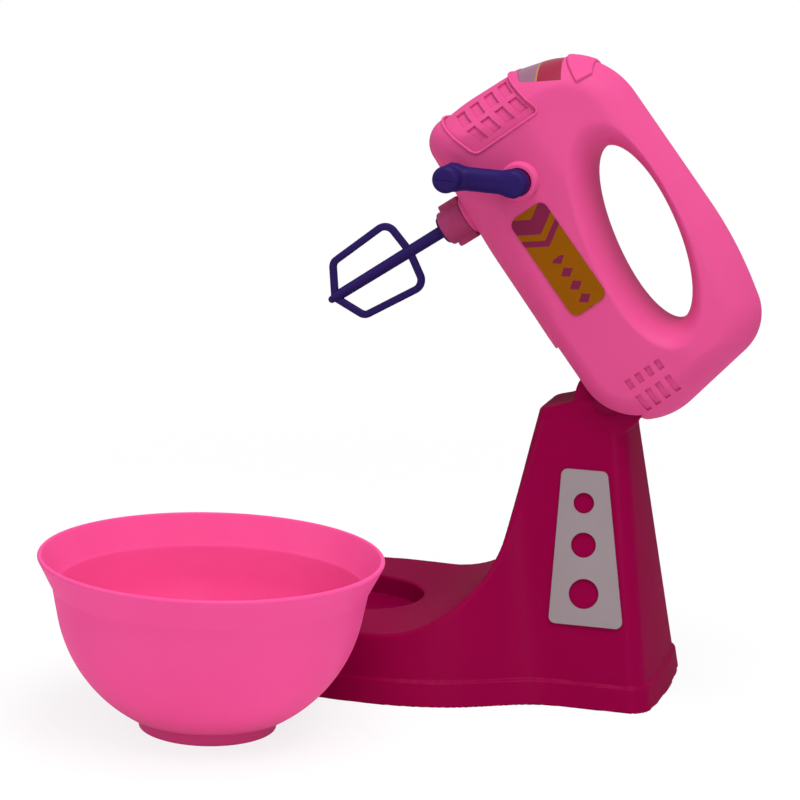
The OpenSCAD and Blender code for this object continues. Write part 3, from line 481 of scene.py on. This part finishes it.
def housing_half(side):
    """One half shell as a grid: u runs round the side view's outline, v goes from the outline to the hand hole on
    straight lines, out to the width given by housing_y, and on down the hole's wall to the mid-plane. At the outline
    it is drawn in by 0.35 mm, which leaves the fine groove of the seam."""
    rim = along(rounded(head_corners), 540, density=lambda p: 1 + 1.2 * np.clip((-100 - p[:, 0]) / 25, 0, 1))
    angle = hole_out(rim[:, 0], rim[:, 1])[1]
    hx, hz = hole_a * np.cos(angle), hole_b * np.sin(angle)
    mouth = np.stack([hole_x + hx * np.cos(hole_slope) + hz * np.sin(hole_slope),
                      hole_z + hz * np.cos(hole_slope) - hx * np.sin(hole_slope)], 1)
    share = 0.5 - 0.5 * np.cos(np.pi * np.linspace(0, 1, 138))
    flat = rim[:, None] + (mouth - rim)[:, None] * share[None, :, None]
    flat[:, 0] += 0.35 * (mouth - rim) / np.linalg.norm(mouth - rim, axis=1, keepdims=True)
    y = housing_y(flat[..., 0], flat[..., 1])
    y[:, 0] = 0
    y = np.concatenate([y, y[:, -1:] * np.linspace(7 / 8, 0, 8)], 1)
    flat = np.concatenate([flat, np.repeat(flat[:, -1:], 8, 1)], 1)
    sheet = np.stack([flat[..., 0], side * y, flat[..., 1]], -1)
    return sheet.reshape(-1, 3), grid_faces(*y.shape, True, True)


# Gloss ABS in a warm pink: bright, a little light enters it, with soft window-like highlights.
pink_abs = moulded("pink_abs_gloss", "#D04D86", "#C9477E", 0.36, 0.9, 0.07, 0.08)


def capped(low, high):
    """Closed prism between two rings of as many points, with a fan of triangles over each end."""
    n = len(low)
    points = np.concatenate([low, high])
    walls = grid_faces(2, n, False, True)
    fans = np.stack([np.full(n - 2, 0), np.arange(1, n - 1), np.arange(2, n)], 1)
    tris = np.concatenate([walls[:, [0, 1, 2]], walls[:, [0, 2, 3]], fans, fans[:, ::-1] + n])
    return points, outward(points, tris)


def prism(ring, low, high):
    """Closed prism over a ring of points (x, z), from y low to y high, in the level mixer's axes."""
    return capped(*(np.insert(np.asarray(ring, float), 1, y, 1) for y in (low, high)))


def circle(x, z, r, count=64):
    """Ring of points on a circle."""
    a = 2 * np.pi * np.arange(count) / count
    return np.stack([x + r * np.cos(a), z + r * np.sin(a)], 1)


def carve(shell, cutters):
    """Cuts closed meshes, given in the level mixer's axes, out of a shell and leaves its mesh final."""
    for points, faces in cutters:
        tool = piece("cutter", in_head(points), faces, pink_abs)
        cut = shell.modifiers.new("cut", "BOOLEAN")
        cut.object, cut.operation, cut.solver = tool, "DIFFERENCE", "MANIFOLD"
        bpy.context.view_layer.update()
        done = bpy.data.meshes.new_from_object(shell.evaluated_get(bpy.context.evaluated_depsgraph_get()))
        shell.modifiers.clear()
        old, shell.data = shell.data, done
        bpy.data.meshes.remove(old)
        bpy.data.objects.remove(tool)
    shell.data.shade_smooth()
    shell.data.set_sharp_from_angle(angle=np.radians(32))


drive_lean = np.radians(3.8)
down = np.array([-np.sin(drive_lean), -np.cos(drive_lean)])


def bar_along(start, end, r, count=48):
    """Closed round bar between two points of the mid-plane, as a prism carried along its axis."""
    start, end = np.array([start[0], 0, start[1]]), np.array([end[0], 0, end[1]])
    axis = (end - start) / np.linalg.norm(end - start)
    side = np.cross(axis, [0, 1, 0])
    a = 2 * np.pi * np.arange(count) / count
    ring = r * (np.cos(a)[:, None] * side + np.sin(a)[:, None] * np.array([0, 1, 0]))
    return capped(start + ring, end + ring)


def on_skin(start, end, count_u, count_v, stretch=(0, 0, 0)):
    """Grid over the crown of the mixer, across both halves: u walks the outline from one height to another, and v
    runs from the near end line, over the outline at the middle, to the far one. Gives points and normals; stretch
    lengthens it at u = 0, at u = 1 and past the end lines, in mm."""
    at_nose = side_view[:, 0] < -100
    rim = side_view[at_nose & (side_view[:, 1] > start[0] - stretch[0]) & (side_view[:, 1] < end[0] + stretch[1])]
    rim = along(rim[np.argsort(rim[:, 1])], count_u, closed=False)
    far = np.linspace(start[1:], end[1:], count_u)
    run = far - rim
    far = rim + run * (1 + np.reshape(stretch[2], (-1, 1)) / np.linalg.norm(run, axis=1, keepdims=True))
    v = np.linspace(-1, 1, count_v)
    flat = rim[:, None] + (far - rim)[:, None] * (1 - np.cos(0.5 * np.pi * v))[None, :, None]
    y = housing_y(flat[..., 0], flat[..., 1]) * np.sign(v)
    y[:, v == 0] = 0
    sheet = np.stack([flat[..., 0], y, flat[..., 1]], -1)
    out = np.cross(np.gradient(sheet, axis=1), np.gradient(sheet, axis=0))
    out = out / np.maximum(np.linalg.norm(out, axis=-1, keepdims=True), 1e-9)
    return sheet, out * np.sign(-out[..., :1].sum())


def patch(ends, middle, rise, half):
    """Grid on the near half's skin between two x, half mm to each side of the line z = middle + rise (x + 133), and
    its normals."""
    x, t = np.meshgrid(np.linspace(*ends, 14), np.linspace(-half, half, 9), indexing="ij")
    z = middle + rise * (x + 133) + t
    sheet = np.stack([x, -housing_y(x, z), z], -1)
    out = np.cross(np.gradient(sheet, axis=1), np.gradient(sheet, axis=0))
    return sheet, out * np.sign(-out[..., 1].sum()) / np.linalg.norm(out, axis=-1, keepdims=True)


def slab(top, bottom):
    """Closed slab between two grids of points of one size, joined at the rim."""
    rows, columns = top.shape[:2]
    total = rows * columns
    points = np.concatenate([top.reshape(-1, 3), bottom.reshape(-1, 3)])
    upper = grid_faces(rows, columns)
    number = np.arange(total).reshape(rows, columns)
    rim = np.concatenate([number[0, :-1], number[:-1, -1], number[-1, :0:-1], number[:0:-1, 0]])
    after = np.roll(rim, -1)
    border = np.stack([rim, after, after + total, rim + total], 1)
    return points, outward(points, upper, upper[:, ::-1] + total, border)


def together(parts):
    """Several closed meshes as one."""
    first = np.cumsum([0] + [len(points) for points, _ in parts])
    faces = [[i + n for i in face] for n, part in zip(first, parts) for face in part[1]]
    return np.vstack([points for points, _ in parts]), faces


def turned(profile, foot, axis, count=72):
    """Surface of revolution: a profile of (distance along the axis, radius) carried round the axis. A profile that
    starts and ends at radius 0 gets one point at each pole; any other is a closed ring."""
    profile, axis = np.asarray(profile, float), np.asarray(axis, float) / np.linalg.norm(axis)
    side = np.cross(axis, [0, 1, 0] if abs(axis[1]) < 0.9 else [1, 0, 0])
    side = side / np.linalg.norm(side)
    other = np.cross(axis, side)
    poles = profile[0, 1] == 0
    rings = profile[1:-1] if poles else profile
    a = 2 * np.pi * np.arange(count) / count
    spokes = np.cos(a)[None, :, None] * side + np.sin(a)[None, :, None] * other
    points = np.asarray(foot) + rings[:, :1, None].transpose(0, 2, 1) * axis + rings[:, 1:, None] * spokes
    points = points.reshape(-1, 3)
    groups = [grid_faces(len(rings), count, not poles, True)]
    if poles:
        n, last, k = len(points), len(points) - count, np.arange(count)
        points = np.vstack([points, np.asarray(foot) + profile[[0, -1], :1] * axis])
        groups += [np.stack([np.full(count, n), k, (k + 1) % count], 1),
                   np.stack([np.full(count, n + 1), last + (k + 1) % count, last + k], 1)]
    return points, outward(points, *groups)


def filleted(corners, count=160):
    """Open profile through corners (distance, radius, round), walked in even steps, with its two ends kept."""
    bends = rounded(corners, closed=False)
    return along(np.vstack([np.asarray(corners)[:1, :2], bends, np.asarray(corners)[-1:, :2]]), count, closed=False)


# The thumb block's edges on the side view: (height on the outline, x and z of its near end) at front and back, and
# the way that it stands out. The label's edges are given in the same way.
block_front, block_back, block_lean = (80.3, -125.4, 80.2), (89.6, -124.8, 87.3), np.radians(70)
stand_out = np.array([-np.sin(block_lean), 0, np.cos(block_lean)])
label_front, label_back = (59.2, -140.9, 59.3), (79.4, -130.9, 75.8)
# The crank's axis, and the sizes of the slot for the neck, of the two bores and of the screws' holes.
crank_at = np.array([-104.2, 35.5])
crank_point = np.array([crank_at[0], 0, crank_at[1]])
neck_slot = [[-33.2, -10], [21.4, -10], [21.4, 17.5], [-33.2, 17.5]]
neck_round, slot_half_w, spindle_bore, shaft_bore = 16.7, 20.2, 7.05, 6.25
screw_places, screw_bore = ((-139, 14), (-108, 88.5), (3, 76), (-60, 18)), 3.0

# The grille's panel has round corners of 3 mm at its two ends. Its slots lie in four rows of two, 2 mm deep, and the
# heel's vents in four rows of a short and a long one, 1 mm deep.
from_corner = np.minimum(np.linspace(0, 35.3, 60), np.linspace(35.3, 0, 60))
drawn_in = np.sqrt(9 - np.clip(3 - from_corner, 0, 3) ** 2) - 3
panel, panel_out = on_skin((17.5, -125.1, 25.7), (54.5, -124.5, 61), 60, 121, (0, 0, drawn_in))
bed, bed_out = on_skin(label_front, label_back, 30, 61, (0.3, 0.3, 0.3))
pocket = on_skin(block_front, block_back, 24, 61, (0.15, 0.15, 0.2))[0]
slots = [patch(ends, row, 0.28, 2.3) for row in (31.6, 39.1, 46.7, 54.2)
         for ends in ((-136.8, -128.6), (-146.2, -139))]
vents = [patch(ends, row, 0, 1.4) for row in (24.4, 29.8, 35.2, 40.6) for ends in ((-4, 0.8), (4.5, 13.1))]
small_points, small_faces = together(
    [slab(s + n, s - 2 * n) for s, n in slots] + [slab(s + n, s - n) for s, n in vents])
for side, name in ((-1, "left"), (1, "right")):
    points, faces = housing_half(side)
    shell = piece("housing_" + name, in_head(points), outward(points, faces), pink_abs)
    cuts = [prism(neck_slot, -slot_half_w, slot_half_w),
            prism(circle(pivot_x, pivot_z, neck_round), -slot_half_w, slot_half_w),
            prism(circle(*crank_at, 20), -15.5, 10),
            bar_along(crank_at + down * 14, crank_at + down * 41, spindle_bore),
            slab(panel + 4 * panel_out, panel - 0.9 * panel_out),
            slab(bed + 3 * bed_out, bed - 0.8 * bed_out),
            slab(pocket + 4 * stand_out, pocket - 5.2 * stand_out)]
    if side < 0:
        cuts.append(prism(circle(*crank_at, shaft_bore), -40, -10))
    else:
        cuts += [prism(circle(x, z, screw_bore, 32), 6.2, 40) for x, z in screw_places]
    turned_faces = small_faces if side < 0 else [face[::-1] for face in small_faces]
    carve(shell, cuts + [(small_points * [1, -side, 1], turned_faces)])
    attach(shell, "head")
    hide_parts("shell_" + name)

# Round the crank's shaft a collar stands off the near half, and round the spindle a short boss under the nose.
outwards = np.array([0, -1.0, 0])
axis_down = np.array([down[0], 0, down[1]])
crank_boss = filleted(np.array([[20, 6.3, 0.1], [20, 11.6, 0.1], [26.4, 9.2, 2.5], [30, 8.1, 1.2],
                                [30, 6.3, 0.3]]), 48)
points, faces = turned(crank_boss, crank_point, outwards)
boss = piece("crank_boss", in_head(points), faces, pink_abs)
nose_boss = filleted(np.array([[24, spindle_bore, 0.1], [24, 9.4, 0.2], [35.5, 9.4, 0.8],
                               [35.5, spindle_bore, 0.3]]), 40)
points, faces = turned(nose_boss, crank_point, axis_down)
spout = piece("nose_boss", in_head(points), faces, pink_abs)
# A raised bead runs round the grille's panel: a round of 0.65 mm radius carried along the panel's four edges.
bead_r, bead_steps, bead_sides = 0.65, 420, 16
edge_line = np.concatenate([panel, panel_out], -1)
edge_line = np.concatenate([edge_line[0, :-1], edge_line[:-1, -1], edge_line[-1, :0:-1], edge_line[:0:-1, 0]])
edge_line = along(edge_line, bead_steps)
course = np.roll(edge_line[:, :3], -1, 0) - np.roll(edge_line[:, :3], 1, 0)
across_course = np.cross(edge_line[:, 3:], course)
across_course = across_course / np.linalg.norm(across_course, axis=1, keepdims=True)
a = 2 * np.pi * np.arange(bead_sides)[:, None] / bead_sides
spokes = bead_r * np.cos(a) * across_course[:, None] + bead_r * np.sin(a) * edge_line[:, None, 3:]
points = (edge_line[:, None, :3] + spokes).reshape(-1, 3)
faces = outward(points, grid_faces(bead_steps, bead_sides, True, True))
bead = piece("grille_bead", in_head(points), faces, pink_abs)
for made, node in ((boss, "shell_left"), (bead, "shell_left"), (spout, "shell_right")):
    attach(made, "head")
    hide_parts(node)
dress("housing_screws", zinc_steel)

# ---- Labels ------------------------------------------------------------------------------------
# Printed polypropylene film, stuck flat on both sides of the mixer and into a bed on the nose's slope. The
# designs are plain patterns in the labels' colours.


def head_mm(tree, x, z):
    """Separate axes, in mm from a point of the level mixer, of a material on the tipped mixer."""
    place = add(tree, "ShaderNodeTexCoord").outputs["Object"]
    level_place = add(tree, "ShaderNodeMapping", {
        "Vector": place, "Location": (in_head(np.array([x, 0, z])) * 0.001).tolist(), "Rotation": (0, tilt, 0),
        "Scale": (0.001, 0.001, 0.001)}, vector_type="TEXTURE")
    return add(tree, "ShaderNodeSeparateXYZ", {"Vector": level_place.outputs[0]}).outputs


# Ochre film with maroon print: two chevrons at the nose end and a row of diamonds 7 mm apart.
ochre_film = blank("ochre_printed_film")
tree = ochre_film.node_tree
x, _, z = head_mm(tree, -65.8, 30)
high = add(tree, "ShaderNodeMath", {0: z}, operation="ABSOLUTE").outputs[0]
bent = add(tree, "ShaderNodeMath", {0: high, 1: 0.6, 2: x}, operation="MULTIPLY_ADD").outputs[0]
broad = add(tree, "ShaderNodeMath", {0: bent, 1: -17.5, 2: 4.0}, operation="COMPARE").outputs[0]
narrow = add(tree, "ShaderNodeMath", {0: bent, 1: -8.5, 2: 1.6}, operation="COMPARE").outputs[0]
apart = add(tree, "ShaderNodeMath", {0: x, 1: 3.5}, operation="PINGPONG").outputs[0]
corner = add(tree, "ShaderNodeMath", {0: high, 1: 0.75, 2: apart}, operation="MULTIPLY_ADD").outputs[0]
diamond = add(tree, "ShaderNodeMath", {0: corner, 1: 2.5}, operation="LESS_THAN").outputs[0]
behind = add(tree, "ShaderNodeMath", {0: x, 1: -1.0}, operation="GREATER_THAN").outputs[0]
diamond = add(tree, "ShaderNodeMath", {0: diamond, 1: behind}, operation="MULTIPLY").outputs[0]
print_on = add(tree, "ShaderNodeMath", {0: broad, 1: narrow}, operation="MAXIMUM").outputs[0]
print_on = add(tree, "ShaderNodeMath", {0: print_on, 1: diamond}, operation="MAXIMUM").outputs[0]
place = add(tree, "ShaderNodeTexCoord").outputs["Object"]
fleck = add(tree, "ShaderNodeTexNoise", {"Vector": place, "Scale": 1000 / 6})
ground = add(tree, "ShaderNodeMix", {0: fleck.outputs["Fac"], 6: linear("#874D04"), 7: linear("#804B03")},
             data_type="RGBA")
inked = add(tree, "ShaderNodeMix", {0: print_on, 6: ground.outputs[2], 7: linear("#701E3C")}, data_type="RGBA")
gloss = add(tree, "ShaderNodeBsdfPrincipled", {
    "Base Color": inked.outputs[2], "Roughness": 0.4, "Specular IOR Level": 0.03})
add(tree, "ShaderNodeOutputMaterial", {"Surface": gloss.outputs[0]})
dress("side_label_left", ochre_film)
dress("side_label_right", ochre_film)

# The nose's film: a mauve-grey field and a red one, with a thin yellow line between them.
slope_film = blank("red_printed_film")
tree = slope_film.node_tree
x, _, z = head_mm(tree, -148, 59)
run = add(tree, "ShaderNodeMath", {0: x, 1: 0.46}, operation="MULTIPLY").outputs[0]
run = add(tree, "ShaderNodeMath", {0: z, 1: 0.89, 2: run}, operation="MULTIPLY_ADD").outputs[0]
upper_part = add(tree, "ShaderNodeMath", {0: run, 1: 11.5}, operation="GREATER_THAN").outputs[0]
line = add(tree, "ShaderNodeMath", {0: run, 1: 11.5, 2: 0.35}, operation="COMPARE").outputs[0]
place = add(tree, "ShaderNodeTexCoord").outputs["Object"]
fleck = add(tree, "ShaderNodeTexNoise", {"Vector": place, "Scale": 1000 / 5})
grey = add(tree, "ShaderNodeMix", {0: fleck.outputs["Fac"], 6: linear("#7E566A"), 7: linear("#886072")},
           data_type="RGBA")
fields = add(tree, "ShaderNodeMix", {0: upper_part, 6: grey.outputs[2], 7: linear("#88243B")}, data_type="RGBA")
inked = add(tree, "ShaderNodeMix", {0: line, 6: fields.outputs[2], 7: linear("#9A7A3A")}, data_type="RGBA")
gloss = add(tree, "ShaderNodeBsdfPrincipled", {
    "Base Color": inked.outputs[2], "Roughness": 0.4, "Specular IOR Level": 0.05})
add(tree, "ShaderNodeOutputMaterial", {"Surface": gloss.outputs[0]})
sheet, out = on_skin(label_front, label_back, 40, 81)
points, faces = slab(sheet - 0.4 * out, sheet - 0.78 * out)
slope_label = piece("slope_label", in_head(points), faces, slope_film)
slope_label.data.set_sharp_from_angle(angle=np.radians(40))
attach(slope_label, "head")
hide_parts("front_label")

# ---- Thumb block -------------------------------------------------------------------------------
# A block of the same pink ABS wraps over the crown behind the top label and is pressed by the thumb.
# It stands 1.2 mm proud on a spring and drops into a pocket across both halves.
sheet, out = on_skin(block_front, block_back, 40, 121)
across_u = np.concatenate([[0], np.cumsum(np.linalg.norm(np.diff(sheet[:, 60], axis=0), axis=1))])
from_side = np.minimum(across_u, across_u[-1] - across_u)[:, None]
run_v = np.concatenate([np.zeros((40, 1)), np.cumsum(np.linalg.norm(np.diff(sheet, axis=1), axis=2), 1)], 1)
from_end = np.minimum(run_v, run_v[:, -1:] - run_v)
block_out = 1.2
inner = np.minimum(from_side, from_end)
crest = np.sqrt(np.clip(block_out ** 2 - np.clip(block_out - inner, 0, block_out) ** 2, 0, None))
points, faces = slab(sheet + out * crest[..., None], sheet - 3 * stand_out)
thumb_block = piece("thumb_block", in_head(points), faces, pink_abs)
thumb_block.data.set_sharp_from_angle(angle=np.radians(40))
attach(thumb_block, "button")
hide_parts("speed_button")
dress("button_spring", zinc_steel)

# ---- Crank -------------------------------------------------------------------------------------
# One violet ABS moulding: a hub on its shaft, a rounded bar and the round seat of the knob. The knob turns
# on a pin in that seat, and both ends are about as thick as the bar.
violet_abs = moulded("violet_abs_gloss", "#2A1B58", "#241650", 0.36, 0.9, 0.08)
crank_world = in_head(crank_point)
arm_turn, arm_l = np.radians(229.6), 28.5
arm_end = in_head(crank_point + arm_l * np.array([np.cos(arm_turn), 0, np.sin(arm_turn)]))
arm_run = (arm_end - crank_world) / arm_l
arm_up = np.array([-arm_run[2], 0, arm_run[0]]) * np.sign(arm_run[0] + 1e-9)


def on_arm(points):
    """Place in the frame of points given along the arm, outwards from the mid-plane and up from the arm."""
    return crank_world + points[:, :1] * arm_run + points[:, 1:2] * outwards + points[:, 2:] * arm_up


def arm_field(u, t, w):
    """Hub and knob seat of 6.1 mm radius and a bar of 10.6 by 9 mm between them, blended, on a 4 mm shaft."""
    hub = rounded_most(np.hypot(u, w) - 6.1, np.abs(t - 35.65) - 5.25, 2.6)
    seat = rounded_most(np.hypot(u - arm_l, w) - 6.1, np.abs(t - 36.4) - 4.5, 1.0)
    bar = rounded_most(np.abs(w) - 5.3, np.abs(t - 36.4) - 4.5, 4.2)
    bar = np.maximum(bar, np.abs(u - arm_l / 2) - arm_l / 2)
    shaft = rounded_most(np.hypot(u, w) - 4, np.abs(t - 18.4) - 12.2, 0.4)
    return np.minimum(soft_least(soft_least(hub, bar, 3), seat, 3), shaft)


def knob_field(u, t, w):
    """Round knob of 6.1 mm radius with a domed end and a fine moulding line across it."""
    knob = rounded_most(np.hypot(u - arm_l, w) - 6.1, np.abs(t - 45.8) - 4.5, 2.6)
    return np.maximum(knob, 0.35 - np.hypot(w + 0.4, np.minimum(t - 50.3, 0)))


def facing(faces, axes):
    """Faces worked out in a frame of three axes, turned round where that frame is left-handed."""
    return faces[:, ::int(np.sign(np.linalg.det(axes)))]


points, faces, normals = skin(arm_field, (-8, 5, -8), (36.5, 42.5, 8), 0.5)
arm_axes = np.stack([arm_run, outwards, arm_up])
crank = piece("crank_arm_moulding", on_arm(points), facing(faces, arm_axes), violet_abs, normals @ arm_axes)
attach(crank, "crank")
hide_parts("crank_arm")
points, faces, normals = skin(knob_field, (21, 40.5, -8), (36, 51.5, 8), 0.4)
knob = piece("knob", on_arm(points), facing(faces, arm_axes), violet_abs, normals @ arm_axes)
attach(knob, "knob")
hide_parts("crank_knob")
dress("crank_bush", red_acetal)
dress("knob_pin", zinc_steel)

# ---- Drive collar ------------------------------------------------------------------------------
# The spindle's lower end, in pink ABS made darker as painted shade for the nose's shadow: a round collar with two
# ribs that the fingers hold to pull the beater out. The gears above it stay hidden in the nose.
beside = np.array([np.cos(drive_lean), 0, -np.sin(drive_lean)])


def on_drive(points):
    """Place in the frame of points given beside the beater's axis, across it and down it from the crank."""
    across = points[:, 1:2] * np.array([0, 1.0, 0])
    return in_head(crank_point + points[:, :1] * beside + across + points[:, 2:] * axis_down)


def collar_field(x, y, t):
    """Collar of 8.2 mm radius from 35.7 to 48.5 mm down, two ribs of 6 mm out to 10.6, the spindle and the socket."""
    collar = rounded_most(np.hypot(x, y) - 8.2, np.abs(t - 42.1) - 6.4, 0.9)
    ribs = rounded_most(np.abs(x) - 10.6, rounded_most(np.abs(y) - 3, np.abs(t - 40.8) - 5.1, 0.9), 0.9)
    spindle = rounded_most(np.hypot(x, y) - 4.6, np.abs(t - 29) - 8, 0.4)
    form = np.minimum(soft_least(collar, ribs, 0.5), spindle)
    return np.maximum(form, np.minimum(3.25 - np.hypot(x, y), t - 38))


# The collar's darker pink is painted shade that stands in for the shadow under the nose, not a different plastic.
collar_pink_painted_shade = moulded("pink_abs_painted_shade", "#A03C68", "#983662", 0.4, 0.9, 0.1)
points, faces, normals = skin(collar_field, (-12, -10, 19.5), (12, 10, 50), 0.5)
drive_axes = in_head(np.stack([beside, [0, 1.0, 0], axis_down])) - in_head(np.zeros(3))
collar = piece("drive_collar", on_drive(points), facing(faces, drive_axes), collar_pink_painted_shade, normals @ drive_axes)
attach(collar, "drive")
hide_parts("drive_socket")

# ---- Gears and bearings ------------------------------------------------------------------------
# Hidden in the nose: a face gear on the crank's shaft drives a small one on the spindle, both in natural
# nylon. The spindle turns in an acetal bush and is kept in by a steel clip.
nylon = moulded("natural_nylon", "#D9D2C0", "#CFC7B3", 0.5, 0.8, 0.1)
dress("crown_gear", nylon)
dress("drive_pinion", nylon)
dress("gear_screw", zinc_steel)
dress("spindle_bush", red_acetal)
dress("spindle_clip", zinc_steel)

# ---- Beater ------------------------------------------------------------------------------------
# A flat looped whisk in violet ABS, moulded with its stem, a thin flange that stops against the collar
# and a small ball at the tip. The stem is a push fit in the spindle.
loop_steps, bar_sides, bar_half_w, bar_half_t = 320, 24, 1.75, 1.65
loop = along(rounded([[16.2, 105.2, 6], [18.8, 69.7, 7], [0, 67.2, 30], [-18.8, 69.7, 7], [-16.2, 105.2, 6],
                      [0, 114.1, 3.4]]), loop_steps)
forward = np.roll(loop, -1, 0) - np.roll(loop, 1, 0)
forward = forward / np.linalg.norm(forward, axis=1, keepdims=True)
inward = np.stack([forward[:, 1], -forward[:, 0]], 1)
inward = inward * np.sign(((np.array([0, 90]) - loop) * inward).sum())
a = 2 * np.pi * np.arange(bar_sides) / bar_sides
wide = bar_half_w * np.sign(np.cos(a)) * np.abs(np.cos(a)) ** 0.55
thick = bar_half_t * np.sign(np.sin(a)) * np.abs(np.sin(a)) ** 0.55
centre = loop + bar_half_w * inward
flat = centre[:, None] + wide[None, :, None] * inward[:, None]
bar = np.stack([flat[..., 0], np.zeros((loop_steps, 1)) + thick, flat[..., 1]], -1).reshape(-1, 3)
bar_faces = outward(bar, grid_faces(loop_steps, bar_sides, True, True))
stem = filleted(np.array([[40, 0, 0.1], [40, 3.1, 0.3], [48.5, 3.1, 0.1], [48.6, 6.6, 0.25], [49.8, 6.6, 0.5],
                          [49.9, 2.9, 0.6], [112.6, 2.5, 1.2], [113.4, 1.75, 0.8], [115.6, 1.7, 1.6],
                          [115.6, 0, 0.1]]), 220)
stem[[0, -1], 1] = 0
stem_points, stem_faces = turned(stem, (0, 0, 0), (0, 0, 1), 40)
points = np.vstack([bar, stem_points])
faces = bar_faces + [[i + len(bar) for i in face] for face in stem_faces]
if np.linalg.det(drive_axes) < 0:
    faces = [face[::-1] for face in faces]
beater = piece("beater_loop", on_drive(points), faces, violet_abs)
beater.data.set_sharp_from_angle(angle=np.radians(50))
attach(beater, "beater")
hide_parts("beater")

# ---- Bowl --------------------------------------------------------------------------------------
# A loose bowl in thin hot-pink polypropylene on a low foot ring, with a flared band under its rim. A thin
# wall lets light through, so its inside glows.
bowl_pp = moulded("pink_polypropylene", "#E85294", "#E14B8C", 0.42, 1.1, 0.12, 0.12)
bowl_place = (-74.5, -131, 0)
bowl_outside = [[0, 30, 0.4], [7, 30.6, 0.4], [7, 36, 0.5], [22.83, 60.7, 64], [63, 68.3, 1.2], [64, 68.9, 0.8],
                [75.9, 74.9, 0.9], [76.9, 74.2, 0.7]]
bowl_inside = [[76.9, 73.1, 0.7], [64, 66.9, 0.8], [63, 66.3, 1.2], [24.05, 58.9, 62], [9, 35.4, 1], [9, 0, 0.1]]
under = [[7, 0, 0.1], [7, 28.6, 0.6], [0, 28.0, 0.4]]
profile = filleted(np.array(under + bowl_outside + bowl_inside), 460)
profile[[0, -1], 1] = 0
points, faces = turned(profile, bowl_place, (0, 0, 1), 180)
bowl = piece("bowl_moulding", points, faces, bowl_pp)
bowl.data.set_sharp_from_angle(angle=np.radians(50))
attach(bowl, "bowl")
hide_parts("bowl")
